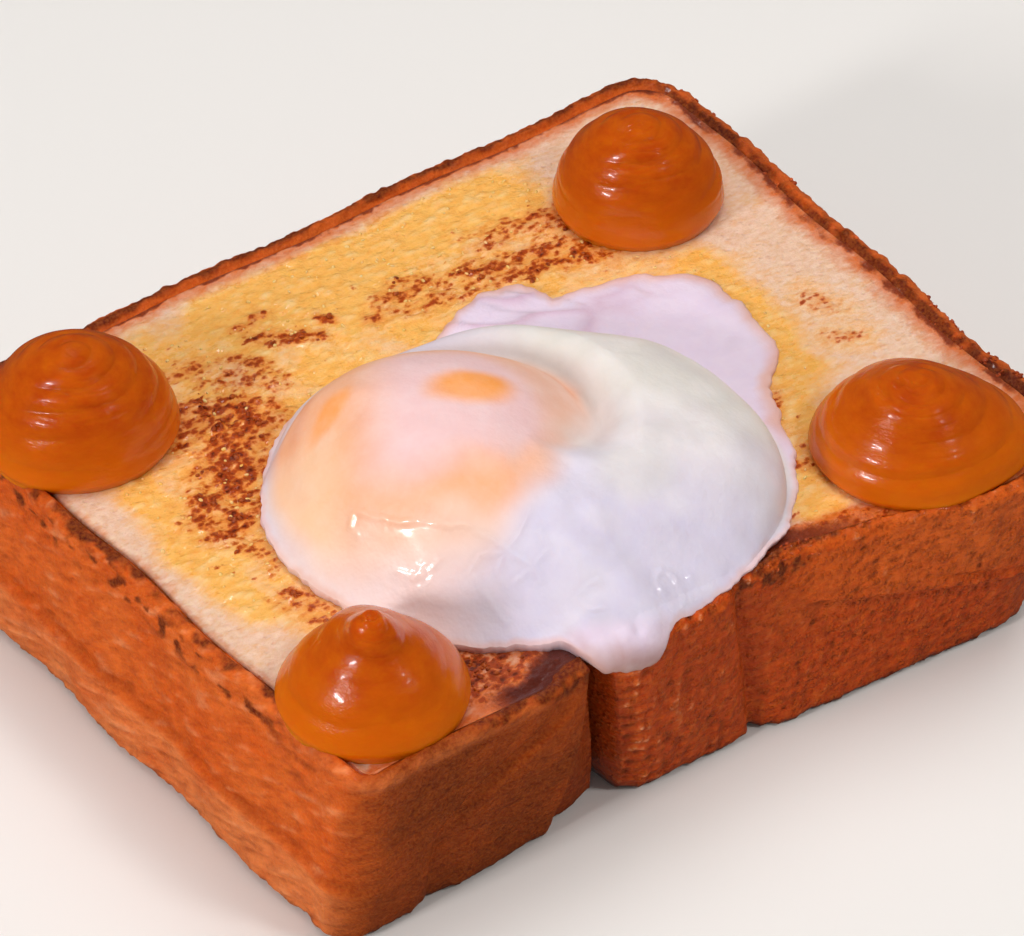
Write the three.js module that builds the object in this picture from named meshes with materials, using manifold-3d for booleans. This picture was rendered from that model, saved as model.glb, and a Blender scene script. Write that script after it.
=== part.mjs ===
// Kaya toast: a thick toasted slice of split-top milk bread that carries a
// soft poached egg and a piped mound of kaya jam on each corner.
// Millimetres, +Z up. The slice lies on z = 0 with its long sides along Y, and
// the split of the loaf's top crust opens on the +X side.

import * as THREE from 'three';
import { mergeVertices } from 'three/addons/utils/BufferGeometryUtils.js';
import Module from 'manifold-3d';

const wasm = await Module();
wasm.setup();

// ---- driving dimensions ---------------------------------------------------

const GAP = 0.3;              // air between pieces that rest on each other

const CRUMB_TOP = 28.4;       // height of the toasted face
const RIM_TOP = 29.4;         // height of the crust's rim
const RIM_WIDTH = 3.4;        // crust seen from above, up to the crumb
const EDGE_ROUND = 1.6;       // rounding where the crust meets the cut faces

// Corners of the slice in plan, anticlockwise, each with its rounding.
const CORNERS = [
  { x: 46.6, y: -58.3, round: 4 },
  { x: 47.6, y: 54.6, round: 15 },
  { x: -49.8, y: 63, round: 8 },
  { x: -49.4, y: -61.3, round: 6 },
];

// The crust's sides: a soft belly, a slow wave, and on the front side a foot
// that flares below a ledge at about a third of the height.
const SIDE = { belly: 0.9, wave: 0.35, flare: 1.6, ledge: 0.7, ledgeZ: 10.2 };

// The split in the top crust: a narrow V, drifting towards its foot, with a
// recessed facet and a soft diagonal crease before it.
const SPLIT = { y: -22.4, drift: 4.6, depth: 9, halfWidth: 2.2 };
const FACET = { depth: 1.7, width: 9.5 };
const DIAGONAL = { depth: 0.8, halfWidth: 5, start: -4.4, run: 19 };

// Past the split the top crust has an upright crease and, further on, a rim
// that rolls over a fold; all are placed by their distance past the split.
const CREASE = { depth: 1.3, halfWidth: 2.4, past: 21.8, drift: 5 };
const ROLL = { past: 33, z: 20.5, fall: 0.27, over: 1.3, under: 0.6 };

// The poached egg: an oval white on the toast, its long axis turned in plan.
const EGG = {
  x: 14.3,
  y: -10.7,
  turn: THREE.MathUtils.degToRad(53),
  halfLength: 33,
  halfWidth: 28,
  height: 12.4,
  lip: 2.2,
  foot: 0.6,
};

// The thin white spreads round the thick: a broad flap behind it, a tongue and
// a low skirt in front, each at an angle in degrees from the egg's long axis.
const FLAP = { reach: 19.5, from: 10, full: 56, fullTo: 70, to: 122 };
const TONGUE = { reach: 5.4, towards: -68, halfWidth: 19 };
const SKIRT = { reach: 1.8, towards: -105, halfWidth: 60 };

// Where the thin white runs past the slice it bends down over the rim.
const DRAPE = { x: 43.5, bend: 2.6, steepest: 0.46 * Math.PI, rise: 0.9 };

// The yolk sits off centre in the white, given along the egg's own axes.
const YOLK = { along: -11.4, across: 0.6, radius: 20, height: 15.2, seat: 3.4 };

// The four mounds of kaya: turns of the piped helix and where it starts, how
// far each is drawn up to a point (peak), and a second fold on one (lobe).
const MOUNDS = [
  {
    name: 'kaya_front', x: 32.7, y: -47.4, radius: 12.5, height: 13.6,
    turns: 2.4, start: 0.4, peak: 1, lobe: 0,
  },
  {
    name: 'kaya_left', x: -31.1, y: -49, radius: 13.2, height: 14,
    turns: 2.8, start: 2.1, peak: 0.25, lobe: 0,
  },
  {
    name: 'kaya_back', x: -26, y: 39.9, radius: 12.1, height: 14,
    turns: 2.8, start: 4, peak: 0.2, lobe: 0,
  },
  {
    name: 'kaya_right', x: 37.2, y: 35, radius: 13.7, height: 11.8,
    turns: 2.6, start: 5.2, peak: 0.45, lobe: 3,
  },
];
const COIL_DEPTH = 0.045;     // share of a mound's radius
const LOBE_TOWARDS = THREE.MathUtils.degToRad(60);

const COLOURS = {
  toast: 0xc8702f,
  eggWhite: 0xe6dde2,
  yolk: 0xf6c39b,
  kaya: 0xb5540a,
};

// ---- small shape helpers --------------------------------------------------

// 0 at the first edge, 1 at the second, smooth between; the edges may fall.
function ease(from, to, value) {
  const t = THREE.MathUtils.clamp((value - from) / (to - from), 0, 1);
  return t * t * (3 - 2 * t);
}

// A soft bump of height 1, zero further than reach from the middle.
function bump(value, middle, reach) {
  const t = Math.min(1, Math.abs(value - middle) / reach);
  return 0.5 + 0.5 * Math.cos(Math.PI * t);
}

// A closed body from rings of equal length, lowest first, with a point that
// closes each end.
function bodyFromRings(rings, lowPoint, highPoint) {
  const count = rings[0].length;
  const positions = [];
  const index = [];
  rings.forEach((ring) => ring.forEach((p) => positions.push(p.x, p.y, p.z)));
  const low = rings.length * count;
  positions.push(lowPoint.x, lowPoint.y, lowPoint.z);
  positions.push(highPoint.x, highPoint.y, highPoint.z);
  for (let r = 0; r < rings.length - 1; r += 1) {
    for (let i = 0; i < count; i += 1) {
      const next = (i + 1) % count;
      const a = r * count + i;
      const b = r * count + next;
      const c = a + count;
      const d = b + count;
      index.push(a, b, d, a, d, c);
    }
  }
  const last = (rings.length - 1) * count;
  for (let i = 0; i < count; i += 1) {
    const next = (i + 1) % count;
    index.push(low, next, i);
    index.push(low + 1, last + i, last + next);
  }
  const geometry = new THREE.BufferGeometry();
  geometry.setAttribute('position', new THREE.Float32BufferAttribute(positions, 3));
  geometry.setIndex(index);
  return geometry;
}

// ---- solids that join and cut ---------------------------------------------

function toSolid(geometry) {
  const bare = geometry.clone();
  bare.deleteAttribute('normal');
  bare.deleteAttribute('uv');
  const merged = mergeVertices(bare, 1e-4);
  const mesh = new wasm.Mesh({
    numProp: 3,
    vertProperties: Float32Array.from(merged.attributes.position.array),
    triVerts: Uint32Array.from(merged.index.array),
  });
  return new wasm.Manifold(mesh);
}

function toGeometry(solid) {
  const mesh = solid.getMesh();
  const geometry = new THREE.BufferGeometry();
  geometry.setAttribute('position', new THREE.BufferAttribute(mesh.vertProperties, 3));
  geometry.setIndex(new THREE.BufferAttribute(mesh.triVerts, 1));
  geometry.computeVertexNormals();
  return geometry;
}

// ---- the slice of toast ---------------------------------------------------

const COARSE_STEP = 4.1;      // between points of the outline
const FINE_STEP = 1.05;       // and within reach of the split
const FINE_REACH = 9.5;

// The rounded outline through CORNERS as points with outward directions,
// closer together round the corners and beside the split.
function sliceOutline() {
  const corners = CORNERS.map((c) => ({ at: new THREE.Vector2(c.x, c.y), round: c.round }));
  const points = [];
  corners.forEach((corner, i) => {
    const before = corners[(i + 3) % 4].at.clone().sub(corner.at).normalize();
    const after = corners[(i + 1) % 4].at.clone().sub(corner.at).normalize();
    const half = Math.acos(before.dot(after)) / 2;
    const middle = before.clone().add(after).normalize().multiplyScalar(corner.round / Math.sin(half));
    const centre = corner.at.clone().add(middle);
    const startAngle = Math.atan2(before.x, -before.y);
    const sweep = Math.PI - 2 * half;
    const arcSteps = Math.max(3, Math.round((corner.round * sweep) / 2.6));
    for (let k = 0; k <= arcSteps; k += 1) {
      const angle = startAngle + (sweep * k) / arcSteps;
      const out = new THREE.Vector2(Math.cos(angle), Math.sin(angle));
      points.push({ at: centre.clone().addScaledVector(out, corner.round), out });
    }
    const tangent = corner.round / Math.tan(half);
    const nextCorner = corners[(i + 1) % 4];
    const nextBefore = corner.at.clone().sub(nextCorner.at).normalize();
    const nextAfter = corners[(i + 2) % 4].at.clone().sub(nextCorner.at).normalize();
    const nextHalf = Math.acos(nextBefore.dot(nextAfter)) / 2;
    const from = corner.at.clone().addScaledVector(after, tangent);
    const to = nextCorner.at.clone().addScaledVector(nextBefore, nextCorner.round / Math.tan(nextHalf));
    const out = new THREE.Vector2(after.y, -after.x);
    const length = from.distanceTo(to);
    let walked = 0;
    while (true) {
      const here = from.clone().lerp(to, walked / length);
      const nearSplit = i === 0 && Math.abs(here.y - SPLIT.y) < FINE_REACH;
      walked += nearSplit ? FINE_STEP : COARSE_STEP;
      if (walked > length - FINE_STEP) break;
      points.push({ at: from.clone().lerp(to, walked / length), out });
    }
  });
  return points;
}

// Where a point of the outline lies at a height: moved out along its own
// direction, and with the lean of the top crust and the flared front foot.
function crustPoint(point, z, splitDepth, inset) {
  const { x, y } = point.at;
  const down = 1 - z / RIM_TOP;
  const facingTop = Math.max(0, point.out.x);
  const facingFront = Math.max(0, -point.out.y);
  const belly = SIDE.belly * Math.sin(Math.PI * down);
  const wave = SIDE.wave * Math.sin(0.21 * x + 0.17 * y + 0.1 * z);
  const ledge = SIDE.ledge * facingFront * ease(SIDE.ledgeZ + 1.3, SIDE.ledgeZ - 1.3, z);
  const relief = facingTop * topCrustRelief(y - SPLIT.y, z, splitDepth);
  const place = point.at.clone().addScaledVector(point.out, belly + wave + ledge + relief - inset);
  place.x += topCrustLean(y - SPLIT.y, down) * ease(28, 42, x);
  place.y -= SIDE.flare * down * ease(-44, -58, y);
  return place;
}

// The top crust leans in towards its foot, most near the front corner, and
// swells out again at its far end.
function topCrustLean(past, down) {
  const rim = -0.4 - 3.2 * bump(past, 32.5, 17) + 3.8 * ease(43.5, 59.5, past);
  const foot = -4.2 + 3.8 * ease(7.5, 43.5, past) + 3 * ease(41.5, 71.5, past);
  return THREE.MathUtils.lerp(rim, foot, down);
}

// The top crust's own relief, by the distance past the split: the split with
// its shoulders, the facet, the creases and the rolled rim.
function topCrustRelief(past, z, splitDepth) {
  const down = 1 - z / RIM_TOP;
  const splitAt = SPLIT.drift * down;
  const away = Math.abs(past - splitAt);
  const split = -splitDepth * Math.pow(Math.max(0, 1 - away / SPLIT.halfWidth), 0.8);
  const nearShoulder = -1.8 * ease(splitAt - 7, splitAt - 1, past) * ease(splitAt + 0.5, splitAt - 0.5, past);
  const farShoulder = -2 * ease(splitAt + 6, splitAt, past) * ease(splitAt - 0.5, splitAt + 0.5, past);

  const foldAt = splitAt - 1 - FACET.width * down;
  const facet = -FACET.depth * ease(foldAt - 1, foldAt + 1, past) * ease(splitAt + 1, splitAt - 1, past);
  const diagonalAt = DIAGONAL.start - DIAGONAL.run * ease(RIM_TOP, 0.4 * RIM_TOP, z);
  const diagonal = -DIAGONAL.depth * bump(past, diagonalAt, DIAGONAL.halfWidth);

  const crease = -CREASE.depth * bump(past, CREASE.past + CREASE.drift * down, CREASE.halfWidth);
  const rollZ = ROLL.z - ROLL.fall * (past - ROLL.past);
  const rolled = (ROLL.over + ROLL.under) * ease(rollZ - 1, rollZ + 1, z) - ROLL.under;
  const roll = ease(ROLL.past - 3, ROLL.past + 5, past) * rolled;
  return split + nearShoulder + farShoulder + facet + diagonal + crease + roll;
}

// The slice as a body. With a clearance it is the cutter for what lies on it,
// grown outwards and upwards and with its split filled.
function sliceGeometry(clearance) {
  const outline = sliceOutline();
  const isCutter = clearance > 0;
  const ringAt = (z, inset, splitShare, out, up) => outline.map((point) => {
    const splitDepth = isCutter ? 0 : SPLIT.depth * splitShare;
    const place = crustPoint(point, z, splitDepth, inset - clearance * out);
    const bySplit = isCutter ? 0 : Math.max(0, point.out.x) * ease(9, 4, Math.abs(place.y - SPLIT.y));
    const rimDip = bySplit * Math.max(0, z - CRUMB_TOP);
    return new THREE.Vector3(place.x, place.y, z - rimDip + clearance * up);
  });
  const rings = [
    ringAt(0, 0.8 * EDGE_ROUND, 1, 1, -1),
    ringAt(0.75 * EDGE_ROUND, 0.12 * EDGE_ROUND, 1, 1, 0),
  ];
  [5, SIDE.ledgeZ - 1.3, SIDE.ledgeZ + 1.3, 15.5, 19.5, 23.5].forEach((z) => {
    rings.push(ringAt(z, 0, 1, 1, 0));
  });
  rings.push(
    ringAt(RIM_TOP - EDGE_ROUND, 0.1, 1, 1, 0.5),
    ringAt(RIM_TOP - 0.35, 0.55 * EDGE_ROUND, 1, 1, 1),
    ringAt(RIM_TOP, EDGE_ROUND, 0.95, 0, 1),
    ringAt(CRUMB_TOP + 0.3, RIM_WIDTH - 0.6, 0.85, -1, 1.2),
    ringAt(CRUMB_TOP, RIM_WIDTH + 0.8, 0.78, -1, 1.2),
  );
  const low = new THREE.Vector3(0, 0, -clearance);
  const high = new THREE.Vector3(0, 0, CRUMB_TOP + 1.2 * clearance);
  return bodyFromRings(rings, low, high);
}

// ---- the poached egg ------------------------------------------------------

// Turns a place given along the egg's axes into one on the toast.
function onToast(along, across) {
  const place = new THREE.Vector2(along, across).rotateAround(new THREE.Vector2(), EGG.turn);
  return place.add(new THREE.Vector2(EGG.x, EGG.y));
}

// Reach of the thick white, and of the thin white round it, by the angle from
// the egg's long axis.
function thickReach(angle) {
  const c = Math.cos(angle) / EGG.halfLength;
  const s = Math.sin(angle) / EGG.halfWidth;
  return 1 / Math.hypot(c, s) + 0.5 * Math.sin(3 * angle + 0.6);
}

function thinReach(angle) {
  const degrees = THREE.MathUtils.radToDeg(angle);
  const flap = FLAP.reach * ease(FLAP.from, FLAP.full, degrees) * ease(FLAP.to, FLAP.fullTo, degrees);
  const tongue = TONGUE.reach * bump(degrees, TONGUE.towards, TONGUE.halfWidth);
  const skirt = SKIRT.reach * bump(degrees, SKIRT.towards, SKIRT.halfWidth);
  return thickReach(angle) + 0.8 + flap + tongue + skirt;
}

// Height of the white over the crumb, along the egg's axes: highest beyond the
// yolk, lower in front of it.
function whiteHeight(along, across) {
  const angle = Math.atan2(across, along);
  const radius = Math.hypot(along, across);
  const inside = Math.min(1, radius / thickReach(angle));
  const byYolk = ease(2, -12, along) * ease(12, 0, across);
  const frontSlope = 0.66 + 0.34 * ease(-26, -4, across);
  const dome = Math.pow(1 - inside ** 4, 0.46);
  return EGG.lip + (EGG.height - EGG.lip) * frontSlope * (1 - 0.68 * byYolk) * dome;
}

// Bends the thin white down over the crust: x past the rim becomes a drop.
function drape(place, height) {
  const past = place.x - DRAPE.x;
  const base = CRUMB_TOP + DRAPE.rise * ease(DRAPE.x - 6, DRAPE.x - 1, place.x);
  if (past <= 0) {
    return new THREE.Vector3(place.x, place.y, base + height);
  }
  const angle = Math.min(past / DRAPE.bend, DRAPE.steepest);
  const radius = DRAPE.bend + height;
  const straight = past - angle * DRAPE.bend;
  return new THREE.Vector3(
    DRAPE.x + radius * Math.sin(angle) + straight * Math.cos(angle),
    place.y,
    base - DRAPE.bend + radius * Math.cos(angle) - straight * Math.sin(angle),
  );
}

// Rings of the white from its hidden underside, round its thin edge, and up
// the thick white to the middle.
function eggWhiteGeometry() {
  const around = 72;
  const ringAt = (reachOf, heightOf) => Array.from({ length: around }, (_, i) => {
    const angle = -Math.PI + (2 * Math.PI * i) / around;
    const along = reachOf(angle) * Math.cos(angle);
    const across = reachOf(angle) * Math.sin(angle);
    return drape(onToast(along, across), heightOf(along, across));
  });
  const rings = [
    ringAt((angle) => thinReach(angle) - 5, () => -EGG.foot),
    ringAt((angle) => thinReach(angle) - 0.8, () => -EGG.foot),
    ringAt(thinReach, () => 0.35 * EGG.lip),
    ringAt((angle) => thinReach(angle) - 0.6, () => 0.85 * EGG.lip),
    ringAt((angle) => (thinReach(angle) + thickReach(angle)) / 2, () => EGG.lip),
  ];
  [0.995, 0.97, 0.92, 0.84, 0.7, 0.5, 0.25].forEach((share) => {
    rings.push(ringAt((angle) => share * thickReach(angle), whiteHeight));
  });
  const centre = onToast(0, 0);
  const low = new THREE.Vector3(centre.x, centre.y, CRUMB_TOP - EGG.foot);
  const high = new THREE.Vector3(centre.x, centre.y, CRUMB_TOP + whiteHeight(0, 0));
  return bodyFromRings(rings, low, high);
}

// The yolk, grown by a clearance when it cuts its seat in the white.
function yolkGeometry(clearance) {
  const around = 36;
  const levels = 11;
  const half = YOLK.height - YOLK.seat;
  const foot = -Math.asin((YOLK.seat - GAP) / half);
  const centre = onToast(YOLK.along, YOLK.across);
  const ringAt = (tilt) => Array.from({ length: around }, (_, i) => {
    const angle = (2 * Math.PI * i) / around;
    const radius = YOLK.radius * Math.cos(tilt) + clearance;
    const z = CRUMB_TOP + YOLK.seat + half * Math.sin(tilt) + clearance * Math.sign(tilt);
    return new THREE.Vector3(centre.x + radius * Math.cos(angle), centre.y + radius * Math.sin(angle), z);
  });
  const rings = [];
  for (let k = 0; k < levels; k += 1) {
    rings.push(ringAt(foot + ((Math.PI / 2 - foot) * k) / levels));
  }
  const low = new THREE.Vector3(centre.x, centre.y, CRUMB_TOP + GAP - clearance);
  const high = new THREE.Vector3(centre.x, centre.y, CRUMB_TOP + YOLK.height + clearance);
  return bodyFromRings(rings, low, high);
}

// ---- the mounds of kaya ---------------------------------------------------

// A piped mound: a belly that overhangs its foot, steps that wind up it as one
// helix, and a soft point. Grown by a clearance when it is used as a cutter.
function moundGeometry(mound, clearance) {
  const around = 26;
  const levels = 12;
  const ringAt = (level) => Array.from({ length: around }, (_, i) => {
    const angle = (2 * Math.PI * i) / around;
    const foot = 0.9 + 0.1 * ease(0, 0.2, level);
    const round = Math.pow(Math.max(0, 1 - Math.pow(level, 2.3)), 0.55);
    const pointed = (1 - Math.pow(level, 2.2)) * (1 - 0.14 * bump(level, 0.84, 0.16));
    const profile = THREE.MathUtils.lerp(round, pointed, mound.peak);
    const phase = 2 * Math.PI * mound.turns * level - angle - mound.start;
    const coil = 1 + COIL_DEPTH * Math.sin(phase) * ease(0, 0.25, level);
    const lobe = mound.lobe * bump(angle, LOBE_TOWARDS, 1.1) * (1 - level ** 2);
    const radius = (mound.radius * foot * coil + lobe) * profile + clearance;
    const x = mound.x + radius * Math.cos(angle);
    const y = mound.y + radius * Math.sin(angle);
    const z = CRUMB_TOP + mound.height * level + clearance * (2 * level - 1);
    return new THREE.Vector3(x, y, z);
  });
  const rings = [];
  for (let k = 0; k <= levels; k += 1) {
    rings.push(ringAt(0.985 * Math.sin((Math.PI / 2) * (k / levels))));
  }
  const low = new THREE.Vector3(mound.x, mound.y, CRUMB_TOP - clearance);
  const high = new THREE.Vector3(mound.x, mound.y, CRUMB_TOP + mound.height + clearance);
  return bodyFromRings(rings, low, high);
}

// ---- put together ---------------------------------------------------------

function finish(colour, roughness) {
  return new THREE.MeshStandardMaterial({ color: colour, roughness, metalness: 0 });
}

function named(name, geometry, material) {
  const mesh = new THREE.Mesh(geometry, material);
  mesh.name = name;
  return mesh;
}

const toastCutter = toSolid(sliceGeometry(GAP));
const white = MOUNDS.reduce(
  (solid, mound) => solid.subtract(toSolid(moundGeometry(mound, GAP))),
  toSolid(eggWhiteGeometry()).subtract(toastCutter).subtract(toSolid(yolkGeometry(GAP))),
);

const kayaToast = new THREE.Group();
kayaToast.name = 'kaya_toast';
kayaToast.add(named('toast', sliceGeometry(0), finish(COLOURS.toast, 0.7)));
kayaToast.add(named('egg_white', toGeometry(white), finish(COLOURS.eggWhite, 0.25)));
kayaToast.add(named('egg_yolk', yolkGeometry(0), finish(COLOURS.yolk, 0.25)));
MOUNDS.forEach((mound) => {
  const solid = toSolid(moundGeometry(mound, 0)).subtract(toastCutter);
  kayaToast.add(named(mound.name, toGeometry(solid), finish(COLOURS.kaya, 0.2)));
});

export default kayaToast;
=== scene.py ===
"""Kaya toast: a thick slice of toasted milk bread with a soft poached egg and
four piped mounds of kaya jam. Lengths in the script are millimetres, and each
mesh is written out in metres."""

import math

import bpy
import numpy as np
from mathutils import Matrix, Vector, noise
from mathutils.kdtree import KDTree


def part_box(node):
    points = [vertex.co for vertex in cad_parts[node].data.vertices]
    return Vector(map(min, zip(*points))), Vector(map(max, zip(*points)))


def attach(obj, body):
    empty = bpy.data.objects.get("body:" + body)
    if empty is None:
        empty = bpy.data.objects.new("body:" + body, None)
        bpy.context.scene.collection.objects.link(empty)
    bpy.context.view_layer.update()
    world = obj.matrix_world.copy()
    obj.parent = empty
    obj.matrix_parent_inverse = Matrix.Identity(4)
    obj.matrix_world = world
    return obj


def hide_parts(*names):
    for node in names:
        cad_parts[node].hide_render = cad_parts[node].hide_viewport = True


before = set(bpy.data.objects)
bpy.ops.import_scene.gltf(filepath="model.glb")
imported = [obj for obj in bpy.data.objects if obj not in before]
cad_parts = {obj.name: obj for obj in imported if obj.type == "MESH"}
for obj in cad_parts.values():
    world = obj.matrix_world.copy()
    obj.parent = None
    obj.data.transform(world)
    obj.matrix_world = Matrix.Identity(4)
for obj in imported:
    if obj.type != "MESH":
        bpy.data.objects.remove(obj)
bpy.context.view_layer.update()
MM = 0.001

# ---- Crust -------------------------------------------------------------------
# The brown skin of a milk loaf that was baked in a tin and cut across. Its top,
# which faces +X, is split and rolled over; the front side, -Y, is the smoother
# tin side. It is one closed ring that runs round the crumb.

RIM_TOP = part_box("toast")[1].z / MM
CRUMB_TOP = RIM_TOP - 1.0
EDGE_ROUND = 1.5
SEAM_INSET = 2.5
CRUST_STEP = 0.39
LONG_COUNT, SHORT_COUNT = 292, 226
WALL_ROWS = 12
CORNERS = [
    (Vector((46.6, -58.3)), 4),
    (Vector((47.6, 54.6)), 15),
    (Vector((-49.8, 63)), 8),
    (Vector((-49.4, -61.3)), 6),
]
SPLIT_Y, SPLIT_DRIFT, SPLIT_DEPTH, SPLIT_HALF_WIDTH = -22.4, 4.6, 9.0, 1.5
LEDGE_Z = 10.2


def ease(start, end, value):
    """0 at start, 1 at end, smooth between; the ends may fall."""
    t = np.clip((np.asarray(value, float) - start) / (end - start), 0, 1)
    return t * t * (3 - 2 * t)


def hump(value, middle, reach):
    """1 at the middle, 0 further off than reach."""
    t = np.minimum(1, np.abs(np.asarray(value, float) - middle) / reach)
    return 0.5 + 0.5 * np.cos(math.pi * t)


def mix(low, high, share):
    return low + (high - low) * share


def grain(places, per_mm, seed=0.0, stretch=(1, 1, 1)):
    """Smooth noise from -1 to 1 at each place, with per_mm blobs to the mm."""
    scaled = places * (np.array(stretch) * per_mm) + (seed, seed * 0.7, seed * 0.3)
    return np.array([noise.noise(Vector(p)) for p in scaled])


def cells(places, per_mm, seed=0.0, stretch=(1, 1, 1)):
    """Distance from each place to its nearest cell centre, in cells."""
    scaled = places * (np.array(stretch) * per_mm) + (seed, seed * 0.7, seed * 0.3)
    return np.array([noise.voronoi(Vector(p))[0][0] for p in scaled])


def linear(hex_colour):
    """A colour written as red, green and blue on screen, for light."""
    channels = [int(hex_colour[i : i + 2], 16) / 255 for i in (1, 3, 5)]
    return np.array([c / 12.92 if c < 0.04045 else ((c + 0.055) / 1.055) ** 2.4 for c in channels])


def paint_over(colours, coats):
    """Lays each coat, a colour and its share at each point, over the last."""
    for hex_colour, share in coats:
        colours = colours + (linear(hex_colour) - colours) * np.clip(share, 0, 1)[:, None]
    return colours


def grid_faces(rows, around, closed_rows=False):
    """Quads over rows of points that each run round and close."""
    faces = []
    for r in range(rows if closed_rows else rows - 1):
        low, high = r * around, (r + 1) % rows * around
        for i in range(around):
            j = (i + 1) % around
            faces.append((low + i, low + j, high + j, high + i))
    return faces


def put_in_scene(name, data):
    """A new object for a mesh, a light or a camera."""
    thing = bpy.data.objects.new(name, data)
    bpy.context.scene.collection.objects.link(thing)
    return thing


def make_mesh(name, places, faces, sharp_angle=None):
    mesh = bpy.data.meshes.new(name)
    mesh.from_pydata((np.asarray(places) * MM).tolist(), [], faces)
    mesh.shade_smooth()
    if sharp_angle:
        mesh.set_sharp_from_angle(angle=math.radians(sharp_angle))
    return put_in_scene(name, mesh)


def paint(piece, name, values):
    """Keeps a number or a colour for each point of the piece."""
    values = np.asarray(values, np.float32)
    if values.ndim == 2:
        values = np.column_stack([values, np.ones(len(values), np.float32)])
        layer = piece.data.attributes.new(name, "FLOAT_COLOR", "POINT")
        layer.data.foreach_set("color", values.ravel())
    else:
        layer = piece.data.attributes.new(name, "FLOAT", "POINT")
        layer.data.foreach_set("value", values)


def corner_arc(i):
    """The rounding of one corner: its points and their outward directions."""
    at, radius = CORNERS[i]
    before = (CORNERS[i - 1][0] - at).normalized()
    after = (CORNERS[(i + 1) % 4][0] - at).normalized()
    half = before.angle(after) / 2
    centre = at + (before + after).normalized() * radius / math.sin(half)
    start = math.atan2(before.x, -before.y)
    angles = start + np.linspace(0, math.pi - 2 * half, 41)
    outs = np.column_stack([np.cos(angles), np.sin(angles)])
    return np.array(centre) + outs * radius, outs


def side_outline(i, count):
    """Points from the middle of one corner to the middle of the next, closer
    together beside the split."""
    here_at, here_out = corner_arc(i)
    next_at, next_out = corner_arc((i + 1) % 4)
    dense_at = np.vstack([here_at[20:], next_at[:21]])
    dense_out = np.vstack([here_out[20:], next_out[:21]])
    walked = np.append(0, np.cumsum(np.linalg.norm(np.diff(dense_at, axis=0), axis=1)))
    fine_walk = np.linspace(0, walked[-1], 4000)
    y = np.interp(fine_walk, walked, dense_at[:, 1])
    crowding = 1 + 1.6 * hump(y, SPLIT_Y + 2.3, 8) * (i == 0)
    share = np.append(0, np.cumsum(crowding[1:]))
    stops = np.interp(np.linspace(0, share[-1], count, endpoint=False), share, fine_walk)
    at = np.column_stack([np.interp(stops, walked, dense_at[:, k]) for k in (0, 1)])
    out = np.column_stack([np.interp(stops, walked, dense_out[:, k]) for k in (0, 1)])
    return at, out / np.linalg.norm(out, axis=1)[:, None]


sides = [side_outline(i, LONG_COUNT if i % 2 == 0 else SHORT_COUNT) for i in range(4)]
outline = np.vstack([side[0] for side in sides])
outward = np.vstack([side[1] for side in sides])
facing_top = np.maximum(0, outward[:, 0])
facing_front = np.maximum(0, -outward[:, 1])
facing_foot = np.maximum(0, -outward[:, 0])
facing_back = np.maximum(0, outward[:, 1])
past_split = outline[:, 1] - SPLIT_Y
AROUND = len(outline)


def top_crust_relief(past, z, depth):
    """The split with its shoulders, the facet and creases before it, and the
    crease and the rolled rim past it."""
    down = 1 - z / RIM_TOP
    split_at = SPLIT_DRIFT * down
    away = np.abs(past - split_at)
    split = -depth * np.maximum(0, 1 - away / SPLIT_HALF_WIDTH) ** 0.7
    near = -1.8 * ease(split_at - 7, split_at - 1, past) * ease(split_at + 0.5, split_at - 0.5, past)
    far = -2.0 * ease(split_at + 5, split_at, past) * ease(split_at - 0.5, split_at + 0.5, past)
    fold_at = split_at - 1 - 9.5 * down
    facet = -1.7 * ease(fold_at - 0.5, fold_at + 0.6, past) * ease(split_at + 1, split_at - 1, past)
    slant = -19 * ease(29, 12, z)
    diagonal = -0.9 * hump(past, slant - 4.4, 4) - 0.35 * hump(past, slant - 5.6, 0.9)
    crease = -1.0 * hump(past, 21.8 + 5 * down, 1.4) - 0.9 * hump(past, 22.6 + 4.6 * down, 4.5)
    roll_z = 20.5 - 0.27 * (past - 33)
    roll = ease(30, 38, past) * (1.9 * ease(roll_z - 0.6, roll_z + 0.8, z) - 0.6)
    thin_fold = -0.5 * hump(z, roll_z + 3.2 - 0.05 * (past - 40), 0.8) * ease(46, 56, past)
    return split + near + far + facet + diagonal + crease + roll + thin_fold


def crust_plan(z, inset, split_share):
    """Where the outline runs at a height, moved in by the inset."""
    x, y = outline.T
    down = 1 - z / RIM_TOP
    belly = 0.9 * math.sin(math.pi * down)
    wave = 0.35 * np.sin(0.21 * x + 0.17 * y + 0.1 * z)
    ledge = 0.9 * facing_front * ease(LEDGE_Z + 0.8, LEDGE_Z - 0.8, z)
    relief = facing_top * top_crust_relief(past_split, z, SPLIT_DEPTH * split_share)
    plan = outline + outward * (belly + wave + ledge + relief - inset)[:, None]
    rim = -0.4 - 3.2 * hump(past_split, 32.5, 17) + 3.8 * ease(43.5, 59.5, past_split)
    foot = -4.2 + 3.8 * ease(7.5, 43.5, past_split) + 3 * ease(41.5, 71.5, past_split)
    plan[:, 0] += mix(rim, foot, down) * ease(28, 42, x)
    plan[:, 1] -= 1.6 * down * ease(-44, -58, y)
    return plan


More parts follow.
